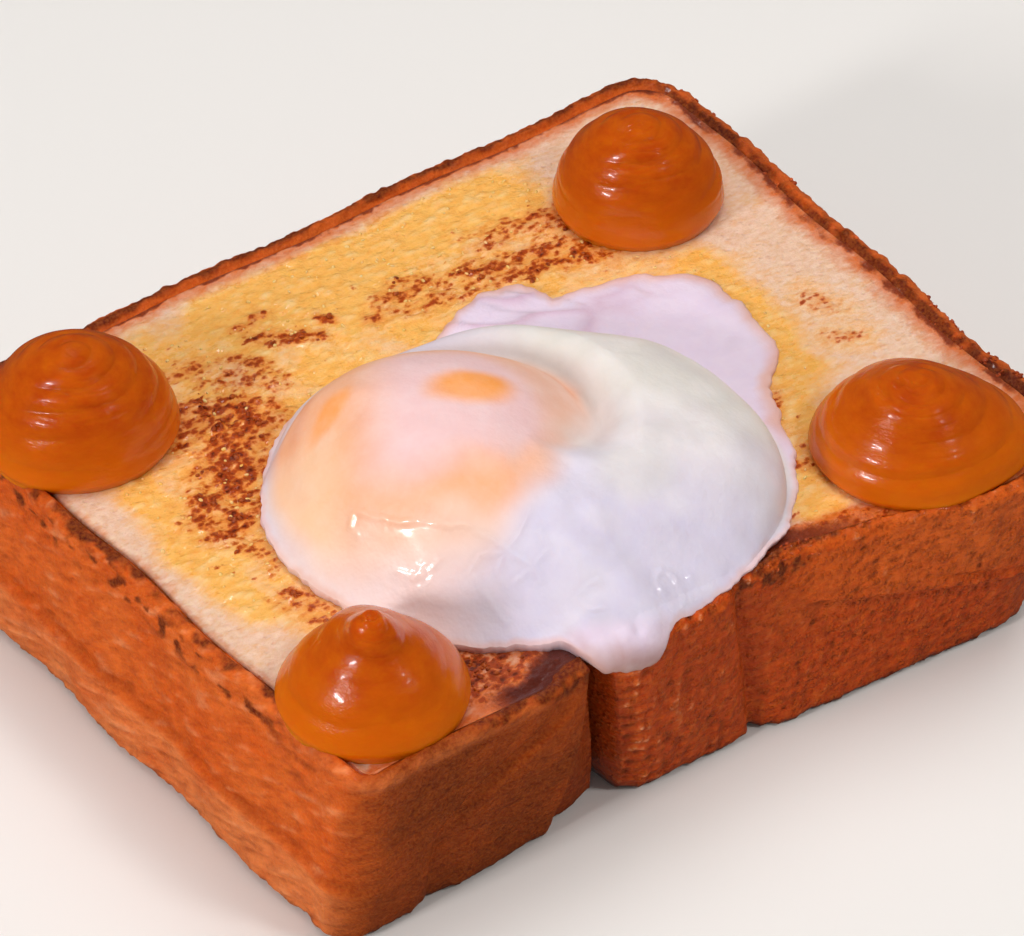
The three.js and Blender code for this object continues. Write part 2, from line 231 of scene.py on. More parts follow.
def crust_grain(places):
    """The skin's soft dents, and its fine fibres, ripples, bubbles and pits,
    both in mm along the normal."""
    x, y, z = places.T
    past_crack = past_split - SPLIT_DRIFT * (1 - z / RIM_TOP)
    right_block = facing_top * ease(0.5, 2.5, past_crack)
    left_block = facing_top * ease(0.5, -1.5, past_crack)
    soft = 0.24 * grain(places, 0.09, 3) + 0.15 * grain(places, 0.24, 5)
    fine = (0.06 * grain(places, 0.8, 7) + 0.05 * grain(places, 1.7, 9)) * (1 - 0.55 * left_block)

    leaning = np.column_stack([0.94 * x + 0.34 * z, y, 0.94 * z - 0.34 * x])
    fibres = grain(leaning, 0.85, 11, (0.25, 0.3, 1))
    stripes = grain(leaning, 1.2, 13, (0.12, 0.3, 1))
    fine += facing_front * mix(0.26 * fibres, 0.28 * stripes, ease(LEDGE_Z + 0.6, LEDGE_Z - 0.8, z))

    ripples = grain(places, 0.95, 19, (0.5, 1, 0.25))
    bubbles = 0.4 - cells(places, 0.85, 17)
    pits = ease(0.3, 0.08, cells(places, 0.5, 21))
    to_bubbles = ease(12, 28, past_crack)
    fine += right_block * mix(0.34 * ripples + 0.2 * bubbles, 0.36 * bubbles + 0.14 * ripples, to_bubbles)
    fine -= right_block * pits * mix(0.08, 0.26, to_bubbles)
    fine += right_block * ease(9, 2, past_crack) * 0.18 * np.sin(3.3 * z + 3.4 * grain(places, 0.35, 23))

    crumbly = 0.30 * grain(places, 0.5, 29) + 0.28 * grain(places, 1.1, 31)
    fine += (facing_back + 0.5 * facing_foot) * crumbly * ease(10, 22, z)
    ragged = ease(2.4, 0.2, z) * (0.35 * grain(places, 0.7, 37) + 0.25 * grain(places, 1.6, 41))
    return soft + ragged, fine


def rim_profile(inset):
    """Height of the cut rim over the crumb, by the distance in from its edge."""
    strip = ease(2.5, 1.3, inset)
    groove = hump(inset, 2.3, 0.8)
    height = strip * (0.85 + 0.1 * facing_top) - 0.4 * groove * facing_front
    return height - 0.6 * facing_top * ease(9, 4, np.abs(past_split - 1)) * strip


# The ring's sections in turn, each with its height, how far it is moved in, its
# share of the split's depth, and how far it faces up (-1: not seen).
flat_insets = [SEAM_INSET - 0.25 * k for k in range(5)]
sections = [(CRUMB_TOP, inset, 0.80 + 0.08 * (SEAM_INSET - inset), 1.0) for inset in flat_insets]
for turn in np.linspace(0.12, 0.9, 6):
    angle = turn * math.pi / 2
    lift = EDGE_ROUND * (math.cos(angle) - 1)
    sections.append((RIM_TOP + lift, EDGE_ROUND * (1 - math.sin(angle)), 0.96, 1 - turn))
sections += [(z, 0, 1, 0) for z in np.arange(RIM_TOP - EDGE_ROUND, EDGE_ROUND * 0.75, -CRUST_STEP)]
sections += [(0.6, 0.35, 1, 0), (0.15, 0.9, 1, 0), (0, 1.5, 1, -1), (0, SEAM_INSET, 0.8, -1)]
sections += [(CRUMB_TOP * k / (WALL_ROWS + 1), SEAM_INSET, 0.88, -1) for k in range(1, WALL_ROWS + 1)]

crust_rows, insets, relief_rows = [], [], []
for z, inset, split_share, facing_up in sections:
    plan = crust_plan(z, inset, split_share)
    level = np.full(AROUND, float(z))
    if facing_up == 1.0:
        level = CRUMB_TOP + rim_profile(inset)
    elif z > RIM_TOP - EDGE_ROUND:
        level = z - (1 - rim_profile(1.5)) * (z - RIM_TOP + EDGE_ROUND) / EDGE_ROUND
    row = np.column_stack([plan, level])
    soft, fine = crust_grain(row)
    if facing_up > 0:
        fine = fine + 0.22 * grain(row, 0.75, 27) + 0.12 * grain(row, 1.6, 28)
    fade = ease(SEAM_INSET, SEAM_INSET - 0.6, inset) if facing_up >= 0 else 0
    angle = max(facing_up, 0) * math.pi / 2
    relief = (soft * math.cos(angle) + fine) * fade
    row[:, :2] += outward * (relief * math.cos(angle))[:, None]
    row[:, 2] = np.maximum(0, row[:, 2] + relief * math.sin(angle))
    crust_rows.append(row)
    insets.append(np.full(AROUND, inset))
    relief_rows.append(fine)

crust_places = np.vstack(crust_rows)
crust_faces = [face[::-1] for face in grid_faces(len(crust_rows), AROUND, True)]
crust = make_mesh("toast_crust", crust_places, crust_faces, 75)

x, y, z = crust_places.T
top, front, foot_side, back, past = np.tile(
    (facing_top, facing_front, facing_foot, facing_back, past_split), len(crust_rows)
)
fine_relief = np.concatenate(relief_rows)
drop = 1 - z / RIM_TOP
past_crack = past - SPLIT_DRIFT * drop
before_split = ease(0.6, -0.6, past_crack)
mottle = grain(crust_places, 0.1, 43) + 0.5 * grain(crust_places, 0.3, 45)
speckle = grain(crust_places, 0.9, 47)
jagged = np.concatenate(insets) + 0.55 * grain(crust_places, 0.45, 49) + 0.3 * speckle
on_rim = ease(RIM_TOP - 2.4, RIM_TOP - 1.3, z)

in_facet = ease(-1, 1, past + 1 + 9.5 * drop - SPLIT_DRIFT * drop)
right_block, left_block = top * (1 - before_split), top * before_split
skin = paint_over(np.tile(linear("#d8560e"), (len(crust_places), 1)), (
    ("#e4702a", front * (0.3 + 0.6 * mottle)),
    ("#ee8e52", front * ease(LEDGE_Z, LEDGE_Z - 1.2, z) * (0.6 + 0.4 * mottle)),
    ("#b04008", front * hump(z, LEDGE_Z + 1.0, 1.7) * (0.65 + 0.5 * mottle)),
    # Painted light and shade on the front: lighter on the raised grain as a painted highlight, darker in
    # its dents as painted shade.
    ("#f5a878", front * ease(0.05, 0.26, fine_relief) * 0.55),
    ("#b4460e", front * ease(-0.05, -0.26, fine_relief) * 0.6),
    ("#c44203", right_block),
    ("#dc6a1c", 0.4 * right_block * ease(0.05, 0.6, speckle)),
    # Painted light: the rolled rim past the split is painted lighter above its crease.
    ("#d25a14", top * ease(20, 45, past) * ease(14, 20, z) * (0.75 + 0.5 * mottle)),
    ("#843000", left_block * (0.95 + 0.3 * mottle)),
    ("#b04a10", left_block * ease(-27, -36, past) * 0.5),
    ("#8c2e02", left_block * in_facet * 0.9),
    ("#b85420", back * (0.6 + 0.4 * speckle)),
    ("#b8521a", foot_side * (0.6 + 0.4 * mottle)),
    # Painted shade in the dents of the skin's fine relief, then a painted highlight on its raised bumps.
    ("#7c2402", ease(-0.08, -0.36, fine_relief) * (0.9 * top + 0.45 * front + 0.5 * back)),
    ("#e87a30", ease(0.07, 0.24, fine_relief) * (0.5 * right_block + 0.25 * front)),
))

serrated = jagged + 0.5 * top * ease(20, 0, past) + 0.3 * front
strip_sides = 0.3 * front * ease(20, 36, x) + 0.45 * top * ease(6, -10, past) + 0.3 * back + 0.3 * foot_side
pale_strip = on_rim * ease(1.5, 0.8, serrated) * strip_sides
char_line = np.clip(0.75 + 0.9 * grain(crust_places, 0.14, 53) + 0.5 * speckle, 0, 1)
inner_line = ease(1.3, 1.9, jagged) * (0.7 * back + 0.6 * top) + 1.3 * hump(jagged, 1.1, 1.3) * foot_side
inner_line += front * ease(0.1, 0.7, jagged) * ease(42, 24, x) * (0.75 + 1.4 * grain(crust_places, 0.3, 57))
back_crust = back * ease(0.4, 1.4, jagged) * ease(-50, -25, x)
back_crust *= 0.25 + 0.75 * ease(-0.25, 0.3, grain(crust_places, 0.35, 60))
char = np.clip(on_rim * (inner_line + back_crust) * char_line, 0, 1)
near_rim = ease(RIM_TOP - 4.5, RIM_TOP - 1.5, z)
left_patch = left_block * on_rim * ease(0.5, 1.2, serrated) * ease(-26, -13, past)
left_patch += 1.1 * left_block * ease(-11, -5, past + 0.5 * mottle) * near_rim
rolled_specks = ease(RIM_TOP - 5, RIM_TOP - 1.5, z) * ease(0, 0.3, grain(crust_places, 0.6, 58))
rolled_char = 1.2 * top * on_rim * ease(0.4, 1.2, jagged) * hump(past, 30, 22)
rolled_char += 1.6 * top * hump(past, 27, 14) * rolled_specks
under_specks = ease(0.1, 0.3, grain(crust_places, 0.5, 59, (1, 1, 1.6))) * ease(40, 20, x)
under_rim = 1.2 * front * hump(z, RIM_TOP - 3.0, 3.2) * under_specks
char += left_patch * (0.75 + 0.6 * speckle) + rolled_char * (0.8 + speckle) + 0.7 * under_rim
char = np.clip(char, 0, 1)
skin = paint_over(skin, (
    ("#e07c44", pale_strip * (0.75 + 0.5 * speckle)),
    ("#a8420f", 1.7 * char),
    ("#601a07", 0.95 * ease(0.3, 0.9, char)),
    # Painted shade deep in the split.
    ("#320a03", 0.85 * top * hump(past_crack, 0, 1.6)),
    # Painted shade: darker towards the floor, more so on the split side.
    ("#54180a", 0.5 * top * ease(0.35, 0, z / 8) + 0.5 * ease(1.4, 0.2, z)),
))
paint(crust, "skin", skin)
crumbly = back * ease(-50, -35, x) * ease(-0.2, 0.4, mottle) + 0.3 * foot_side * ease(0, 0.5, mottle)
crumbly = crumbly * on_rim + 0.6 * top * hump(past, 30, 18) * ease(RIM_TOP - 3.5, RIM_TOP - 1.5, z)
paint(crust, "crumbly", crumbly)
# Where painted glints go: the raised points of the right block.
paint(crust, "glint_peaks", right_block * ease(0.08, 0.34, fine_relief))
paint(crust, "pitted", right_block + 0.25 * front * ease(LEDGE_Z - 1.5, LEDGE_Z - 4, z) + 0.3 * back)


def start_material(name):
    material = bpy.data.materials.new(name)
    material.use_nodes = True
    tree = material.node_tree
    return material, tree, tree.nodes["Principled BSDF"]


def feed(tree, node, inputs):
    """Gives each input of a node a value or another node's output."""
    for key, value in inputs.items():
        if isinstance(value, bpy.types.NodeSocket):
            tree.links.new(value, node.inputs[key])
        else:
            node.inputs[key].default_value = value


def add(tree, kind, inputs=None, **settings):
    node = tree.nodes.new(kind)
    for key, value in settings.items():
        setattr(node, key, value)
    feed(tree, node, inputs or {})
    return node


def painted(tree, name, output="Fac"):
    """What was painted on the piece's points under this name."""
    return add(tree, "ShaderNodeAttribute", attribute_name=name).outputs[output]


def place_mm(tree, per_mm, stretch=(1, 1, 1), turn=(0, 0, 0)):
    """The object's own coordinates, scaled to per_mm to the mm."""
    place = add(tree, "ShaderNodeTexCoord").outputs["Object"]
    scale = [s * per_mm / MM for s in stretch]
    turned = add(tree, "ShaderNodeMapping", {"Vector": place, "Rotation": turn})
    return add(tree, "ShaderNodeMapping", {"Vector": turned.outputs[0], "Scale": scale}).outputs[0]


def noise_mm(tree, per_mm, detail=3.0, roughness=0.55, stretch=(1, 1, 1), turn=(0, 0, 0)):
    """Fractal noise with per_mm blobs to the mm."""
    place = place_mm(tree, per_mm, stretch, turn)
    inputs = {"Vector": place, "Scale": 1.0, "Detail": detail, "Roughness": roughness}
    return add(tree, "ShaderNodeTexNoise", inputs).outputs["Fac"]


def cells_mm(tree, per_mm, stretch=(1, 1, 1)):
    """Distance to the nearest cell centre, 0 to about 0.8."""
    inputs = {"Vector": place_mm(tree, per_mm, stretch), "Scale": 1.0}
    return add(tree, "ShaderNodeTexVoronoi", inputs).outputs["Distance"]


def spread(tree, value, low, high, to_low=0.0, to_high=1.0):
    """Maps a value's range from low..high to another, clamped."""
    inputs = {"Value": value, "From Min": low, "From Max": high, "To Min": to_low, "To Max": to_high}
    return add(tree, "ShaderNodeMapRange", inputs).outputs[0]


def opaque(hex_colour):
    return (*linear(hex_colour), 1)


def math_node(tree, operation, first, second):
    return add(tree, "ShaderNodeMath", {0: first, 1: second}, operation=operation).outputs[0]


def mix_colour(tree, share, first, second, blend_type="MIX"):
    """Mixes two colours, each a socket or a colour written in hex."""
    first, second = (opaque(colour) if isinstance(colour, str) else colour for colour in (first, second))
    node = add(tree, "ShaderNodeMix", data_type="RGBA", blend_type=blend_type)
    feed(tree, node, {0: share, 6: first, 7: second})
    return node.outputs[2]


def bump(tree, height, strength, depth_mm, below=None):
    inputs = {"Height": height, "Strength": strength, "Distance": depth_mm * MM}
    if below:
        inputs["Normal"] = below
    return add(tree, "ShaderNodeBump", inputs).outputs[0]


crust_finish, tree, shader = start_material("baked_crust")
pitted = painted(tree, "pitted")
fibre = noise_mm(tree, 0.9, 4, 0.6, (0.4, 0.4, 1), (0, math.radians(20), 0))
fine = noise_mm(tree, 2.2, 4, 0.6)
blister = spread(tree, cells_mm(tree, 1.3, (1, 1, 0.8)), 0.55, 0.1)
blister = math_node(tree, "MULTIPLY", blister, pitted)
blister = math_node(tree, "MULTIPLY", blister, spread(tree, fibre, 0.4, 0.6))
# Painted glints: small light specks on the raised points, standing in for highlights.
painted_glints = spread(tree, noise_mm(tree, 1.5, 2), 0.5, 0.62, 0, 0.7)
painted_glints = math_node(tree, "MULTIPLY", painted(tree, "glint_peaks"), painted_glints)
colour = painted(tree, "skin", "Color")
colour = mix_colour(tree, spread(tree, fibre, 0.35, 0.7, 0, 0.45), colour, "#8a3406", "MULTIPLY")
colour = mix_colour(tree, spread(tree, fine, 0.62, 0.4, 0, 0.14), colour, "#f08a34")
# Painted highlight: the raised blisters are painted lighter on top.
colour = mix_colour(tree, math_node(tree, "MULTIPLY", blister, 0.3), colour, "#e26a22")
wrinkled = bump(tree, fibre, 0.55, 0.6)
feed(tree, shader, {
    # The base colour with the painted glints laid over it.
    "Base Color": mix_colour(tree, painted_glints, colour, "#f6b48a"),
    "Roughness": spread(tree, noise_mm(tree, 0.7, 3), 0.35, 0.65, 0.36, 0.56),
    "Normal": bump(tree, fine, 0.6, 0.28, bump(tree, blister, 0.9, 0.4, wrinkled)),
    "Coat Weight": spread(tree, pitted, 0, 1, 0.04, 0.5),
    "Coat Roughness": 0.14,
    "Specular IOR Level": 0.16,
    "Subsurface Weight": 0.1,
    "Subsurface Radius": (1.0, 0.4, 0.15),
    "Subsurface Scale": 0.6 * MM,
})
crust.data.materials.append(crust_finish)
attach(crust, "root")
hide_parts("toast")

# ---- Crumb -------------------------------------------------------------------
# The inside of the loaf, toasted on a griddle and buttered: pale and fine near
# the crust, yellow and wet where the butter soaked in, and charred in flecks
# where its cells touched the iron. It is one block inside the crust's ring.

seam = crust_rows[0]
smooth_seam = crust_plan(CRUMB_TOP, SEAM_INSET, 0)
starts = np.cumsum([0, LONG_COUNT, SHORT_COUNT, LONG_COUNT, SHORT_COUNT])
edge = [np.vstack([smooth_seam, smooth_seam[:1]])[starts[i] : starts[i + 1] + 1] for i in range(4)]
right_edge, far_edge, left_edge, near_edge = edge[0], edge[1], edge[2][::-1], edge[3][::-1]
# The face is stretched between its four edges: u runs along the long sides and v
# across, from the split side to the one opposite.
u = np.linspace(0, 1, LONG_COUNT + 1)[:, None, None]
v = np.linspace(0, 1, SHORT_COUNT + 1)[None, :, None]
corners = [right_edge[0], right_edge[-1], left_edge[0], left_edge[-1]]
face_plan = (1 - v) * right_edge[:, None] + v * left_edge[:, None] + (1 - u) * near_edge + u * far_edge
face_plan -= (1 - v) * ((1 - u) * corners[0] + u * corners[1]) + v * ((1 - u) * corners[2] + u * corners[3])
notch = np.vstack([seam, seam[:1]])[: LONG_COUNT + 1, :2] - right_edge
# The split's notch in the crumb's edge fades out over a few mm.
CRUMB_WIDTH, NOTCH_REACH = 97, 6
face_plan += notch[:, None] * np.exp(-v * CRUMB_WIDTH / NOTCH_REACH)
face_plan = face_plan.reshape(-1, 2)
face_places = np.column_stack([face_plan, np.full(len(face_plan), CRUMB_TOP)])
ring_index = [i * (SHORT_COUNT + 1) for i in range(LONG_COUNT)]
ring_index += [LONG_COUNT * (SHORT_COUNT + 1) + j for j in range(SHORT_COUNT)]
ring_index += [i * (SHORT_COUNT + 1) + SHORT_COUNT for i in range(LONG_COUNT, 0, -1)]
ring_index += [j for j in range(SHORT_COUNT, 0, -1)]

# Each zone is a stroke from one place to another, with its half width and how
# strong it is, on the plan of the slice.
CHAR_STROKES = [
    ((-24, -41), (-20, -29), 4.4, 0.95), ((-20, -31), (-6, -43), 4.6, 0.95),
    ((-6, -43), (6, -43.5), 1.6, 0.6), ((13, -46), (17, -44), 2.4, 0.85),
    ((-34, -35), (-32, -26), 1.8, 0.62), ((-32, -26), (-28, -22), 1.6, 0.62),
    ((-30, -30), (-24, -23), 2.4, 0.6), ((-34, -20), (-29, -13), 1.3, 0.8),
    ((-28, 1), (-24, 24), 3.4, 0.72), ((-33, 17), (-30, 29), 2.6, 0.68),
    ((-27, 12), (-21, 28), 3.4, 0.85), ((18, 27), (24, 23), 1.8, 0.8),
    ((40.5, 0), (45.5, 24), 2.5, 1.25), ((-31.6, -10), (-30.6, -9), 0.9, 1),
    ((-26.6, -4.5), (-26, -3), 0.9, 0.95), ((-36.7, -20.5), (-36, -19), 0.9, 0.9),
    ((-37.4, -17.5), (-37, -16), 0.9, 0.9), ((13, 42), (15, 44), 1.4, 0.5),
    ((5, 45), (8, 46), 1.6, 0.45), ((22, -36), (34, -27), 2.0, 0.7), ((37, -36), (41, -25), 4.0, 1.3),
    ((26, 11), (31, 22), 1.7, 0.95),
]
BUTTER_STROKES = [
    ((-40, -20), (-38, 24), 8.0, 1.0), ((-30, -14), (-30, 8), 7.0, 0.8),
    ((-26, -49), (12, -50), 3.8, 0.9), ((-12, -45), (14, -46), 5.0, 0.7),
    ((-8, 37), (13, 34), 5.5, 0.85), ((13, 34), (40, 18), 4.5, 0.75), ((-26, 28), (-8, 34), 5.0, 0.6),
    ((-26, -34), (-22, -44), 6.0, 0.6), ((-36, -34), (-36, 20), 9.0, 0.7),
    ((-24, -34), (-22, 22), 12.0, 0.7), ((-14, -44), (8, -44), 6.0, 0.7),
]


def strokes(places, table, soft):
    """The strongest stroke at each place, fading over soft times its width."""
    strongest = np.zeros(len(places))
    for start, end, half_width, strength in table:
        start, along = np.array(start, float), np.subtract(end, start)
        offset = places[:, :2] - start
        share = np.clip(offset @ along / (along @ along), 0, 1)
        away = np.linalg.norm(offset - share[:, None] * along, axis=1)
        cover = ease(half_width * (1 + soft), half_width * (1 - soft), away)
        strongest = np.maximum(strongest, strength * cover)
    return strongest


rim_tree = KDTree(AROUND)
for i, point in enumerate(crust_plan(CRUMB_TOP, 0, 0)):
    rim_tree.insert((*point, 0), i)
rim_tree.balance()
found = [rim_tree.find((*place[:2], 0)) for place in face_places]
nearest = np.array([index for _, index, _ in found])
from_rim = np.array([distance for _, _, distance in found])

wander = face_places.copy()
wander[:, 0] += 1.6 * grain(face_places, 0.15, 61)
wander[:, 1] += 1.6 * grain(face_places, 0.15, 67)
char_zone = strokes(wander, CHAR_STROKES, 0.7)
halo_strokes = [(start, end, width * 1.3 + 1.6, strength) for start, end, width, strength in CHAR_STROKES]
halo_zone = strokes(wander, halo_strokes, 0.8)
butter = np.clip(strokes(wander, BUTTER_STROKES, 0.7) + 0.3 * grain(face_places, 0.2, 71), 0, 1)
butter = np.maximum(butter, 0.85 * halo_zone * ease(30, 18, face_places[:, 0]))
butter *= ease(2.5, 6.5, from_rim + 1.5 * grain(face_places, 0.2, 75))
drawn_out = (1.5, 0.8, 1)
cell = cells(face_places, 0.55, 73, drawn_out)
wide_cell = cells(face_places, 0.36, 79, drawn_out)
clump = 0.55 * grain(face_places, 0.62, 83, drawn_out) + 0.35 * grain(face_places, 1.3, 89, drawn_out)
clump += 0.25 * grain(face_places, 0.22, 91)
fleck = char_zone * (0.58 + 1.25 * clump)
stray = ease(0.46, 0.66, grain(face_places, 0.55, 97, drawn_out))
stray *= np.clip(1.3 * halo_zone + 0.3 * butter, 0, 1)
fleck = np.clip(fleck + 0.6 * stray * ease(3, 7, from_rim), 0, 1)
still = ease(SEAM_INSET, SEAM_INSET + 1.0, from_rim)
wet = np.clip(butter + halo_zone, 0, 1)
bread = 0.09 * grain(face_places, 0.9, 101, drawn_out) + 0.06 * grain(face_places, 2.0, 103)
bread += (0.08 + 0.26 * wet) * (0.45 - cell)
bread += 0.24 * wet * (0.5 - wide_cell)
bread += 0.30 * fleck * (0.7 + 1.2 * grain(face_places, 1.2, 107))
slump = 0.35 * grain(face_places, 0.05, 109)
face_places[:, 2] += (bread + slump - 0.1) * still
face_places[ring_index] = seam



def fan(hub, first, around):
    """Triangles from one point to a row of points that runs round."""
    return [(hub, first + i, first + (i + 1) % around) for i in range(around)]


side_and_sole = crust_rows[-1 : -WALL_ROWS - 2 : -1]
side_and_sole.append(side_and_sole[-1] * (0.5, 0.5, 0))
face_count = len(face_places)
crumb_places = np.vstack([face_places, *side_and_sole, [(0, 0, 0)]])
crumb_faces = []
for i in range(LONG_COUNT):
    for j in range(SHORT_COUNT):
        here = i * (SHORT_COUNT + 1) + j
        beside = here + SHORT_COUNT + 1
        crumb_faces.append((here, beside, beside + 1, here + 1))
for face in grid_faces(len(side_and_sole), AROUND):
    crumb_faces.append([face_count + corner for corner in face[::-1]])
last = len(crumb_places) - 1 - AROUND
for i, triangle in enumerate(fan(last + AROUND, last, AROUND)):
    j = (i + 1) % AROUND
    crumb_faces.append((ring_index[j], ring_index[i], face_count + i, face_count + j))
    crumb_faces.append(triangle[::-1])
crumb = make_mesh("toast_crumb", crumb_places, crumb_faces, 75)

below = np.zeros(len(crumb_places) - face_count)
near_front, near_back, near_foot, near_top = (
    facing[nearest] for facing in (facing_front, facing_back, facing_foot, facing_top)
)
jagged = from_rim + 0.8 * grain(face_places, 0.35, 113) + 0.5 * grain(face_places, 0.9, 115)
gradient = 0.95 * near_back * ease(7.6, 2.6, jagged) + near_foot * ease(6.5, 2.2, jagged)
gradient += near_top * ease(7, 3, jagged) + 0.5 * near_front * ease(4.2, 2.4, jagged)
browned = np.clip(0.9 * gradient + 0.2 * halo_zone + 0.5 * char_zone * (0.9 + 1.2 * clump), 0, 1)
patchy = 0.35 + 0.65 * ease(-0.3, 0.2, grain(face_places, 0.3, 117))
edge_char = patchy * near_back * ease(4.1, 2.9, jagged) + near_foot * ease(3.2, 2.5, jagged)
along_rim = face_places[:, 1]
edge_char += 1.3 * near_top * ease(6, 3.2, jagged) * hump(along_rim, 6, 26)
edge_char += 1.8 * near_top * ease(7, 4, jagged) * ease(-40, -32, along_rim) * ease(-20, -24, along_rim)
for name, values in (
    ("butter", butter), ("browned", browned), ("fleck", fleck * (1 - 0.7 * np.clip(edge_char, 0, 1))),
    ("edge", edge_char), ("cell", 0.6 * cell + 0.4 * wide_cell),
):
    paint(crumb, name, np.append(values, below))

crumb_finish, tree, shader = start_material("buttered_crumb")
zone = {name: painted(tree, name) for name in ("butter", "browned", "fleck", "edge", "cell")}
fine = noise_mm(tree, 0.9, 5, 0.6, (1.4, 0.8, 1))
finest = noise_mm(tree, 2.8, 4, 0.6)
pore = spread(tree, cells_mm(tree, 0.7, (1.3, 0.9, 1)), 0.10, 0.30)
pale = mix_colour(tree, spread(tree, fine, 0.35, 0.65), "#e8c6ad", "#dcb090")
# Painted shade: the crumb is a little darker down in its pores.
pale = mix_colour(tree, spread(tree, pore, 1.0, 0.0, 0.0, 0.12), pale, "#c98560")
rich = mix_colour(tree, spread(tree, fine, 0.3, 0.7), "#f9be66", "#f3ad4e")
buttered = mix_colour(tree, spread(tree, zone["cell"], 0.5, 0.2, 0, 0.7), rich, "#f7d291")
uneven = math_node(tree, "MULTIPLY", fine, 0.7)
butter_share = spread(tree, math_node(tree, "ADD", zone["butter"], uneven), 0.4, 1.1)
brown_value = math_node(tree, "ADD", zone["browned"], uneven)
ragged = math_node(tree, "MULTIPLY", math_node(tree, "SUBTRACT", finest, 0.5), 0.9)
grains = math_node(tree, "SUBTRACT", 0.42, cells_mm(tree, 1.0, (1.2, 0.9, 1)))
broken = math_node(tree, "ADD", ragged, grains)
broken = math_node(tree, "MULTIPLY", broken, spread(tree, zone["fleck"], 0.04, 0.3))
toasted = math_node(tree, "ADD", zone["fleck"], broken)
edge_value = math_node(tree, "ADD", zone["edge"], ragged)
colour = mix_colour(tree, butter_share, pale, buttered)
for value, low, high, most, hex_colour in (
    (brown_value, 0.45, 1.3, 0.92, "#d2651f"),
    (toasted, 0.16, 0.36, 0.7, "#d4691a"),
    (toasted, 0.36, 0.6, 0.95, "#a43c08"),
    (toasted, 0.72, 1.1, 0.9, "#581803"),
    (edge_value, 0.3, 0.9, 0.9, "#7c2a0a"),
    (edge_value, 0.9, 1.5, 0.85, "#481208"),
):
    colour = mix_colour(tree, spread(tree, value, low, high, 0, most), colour, hex_colour)
wetness = math_node(tree, "ADD", zone["butter"], math_node(tree, "MULTIPLY", zone["browned"], 0.5))
pores = bump(tree, pore, 0.4, 0.3, bump(tree, fine, 0.45, 0.5))
feed(tree, shader, {
    "Base Color": colour,
    "Roughness": spread(tree, math_node(tree, "ADD", wetness, uneven), 0.3, 1.3, 0.6, 0.2),
    "Normal": bump(tree, finest, 0.4, 0.22, pores),
    "Coat Weight": spread(tree, wetness, 0.1, 0.9, 0.05, 0.9),
    "Coat Roughness": 0.1,
    "Subsurface Weight": 0.4,
    "Subsurface Radius": (1.0, 0.55, 0.25),
    "Subsurface Scale": 1.0 * MM,
})
crumb.data.materials.append(crumb_finish)
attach(crumb, "root")
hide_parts("toast")

# ---- Poached egg -------------------------------------------------------------
# A soft poached egg slid on to the toast: thick white round an off-centre yolk
# with a film of white drawn over it, and thin white spread behind and hanging
# over the crust in front. White and yolk are two pieces with one common skin.

EGG_PLACE, EGG_TURN = np.array([14.3, -10.7]), math.radians(53)
HALF_LENGTH, HALF_WIDTH, WHITE_HEIGHT, WHITE_LIP = 33.0, 28.0, 12.4, 1.3
YOLK_ALONG, YOLK_ACROSS, YOLK_RADIUS, YOLK_HEIGHT, YOLK_SEAT = -11.4, 0.6, 20.0, 15.2, 3.4
RIM_X, RIM_BEND = 43.5, 2.6
# Each raised wrinkle of the film has its height, its half width and its stops.
WRINKLES = [
    (0.25, 0.55, [(-21.6, -14.2), (-21, -12.8), (-18.8, -14.2), (-15.4, -16), (-12.8, -16.4), (-11, -17)]),
    (0.23, 0.55, [(-11, -17), (-6.6, -17.8), (-3, -19.4), (0.6, -21.6), (2, -23.4)]),
    (0.14, 0.50, [(-13.6, -15.4), (-12.8, -16.4), (-12, -15.2)]),
    (0.14, 0.50, [(-21.6, -14.2), (-20.6, -15.6)]),
    (0.10, 0.60, [(-15.8, -20.4), (-14.2, -21.3), (-11.6, -21.5), (-10.4, -20.8)]),
    (0.14, 0.50, [(0.8, -15.6), (-0.6, -18.4), (-2.4, -20.2), (-5.4, -20.6), (-6.6, -22.2), (-4.2, -25.2),
                  (-2.4, -27)]),
    (0.14, 0.50, [(2, -18), (3, -20.2), (1, -22), (-1.5, -23.5)]),
    (0.13, 0.50, [(-2.4, -20.2), (-3.2, -22.4), (-0.8, -25)]),
    (0.17, 0.50, [(17.2, -22.6), (16, -21.2), (16.8, -20), (18.2, -19.8), (19.6, -21.4), (19.6, -22.6),
                  (18.6, -23.4)]),
    (0.14, 0.50, [(20.4, -19.6), (21.4, -21), (20.8, -22.6)]), (0.16, 0.55, [(6.8, -24.6), (9.2, -23)]),
    (0.14, 0.50, [(6.2, -25.4), (8, -26.4), (9.6, -26)]),
    (0.18, 0.7, [(-6, 38.6), (-3, 36.4), (1, 36)]),
    (0.18, 0.7, [(12, 42.4), (14.6, 41.8), (16.6, 40.2)]),
    (0.22, 0.8, [(-2, 41), (2, 39.4), (5, 39.6), (8, 37.6)]),
]
# The deep orange patches have a middle, a reach each way, a turn and a strength.
PATCHES = [
    ((-6.6, 4.2), (5.6, 4.0), 0, 1.0), ((-24.8, 3.2), (4.2, 2.0), 55, 0.9),
    ((-4.6, -12), (4.6, 5.2), 5, 0.3), ((-14, -12), (7, 4.5), 0, 0.12),
]
# How far from the yolk's middle its film begins to fade and ends, all the way round.
FILM_ANGLES = [-180, -135, -90, -45, -20, 0, 30, 60, 90, 120, 150]
FILM_STARTS = [19.4, 19.5, 18.5, 14.5, 12.5, 14.5, 19.5, 19.0, 18.8, 19.2, 19.3]
FILM_ENDS = [22.2, 23.0, 25.0, 21.5, 19.0, 21.5, 22.4, 21.4, 20.2, 20.4, 20.6]
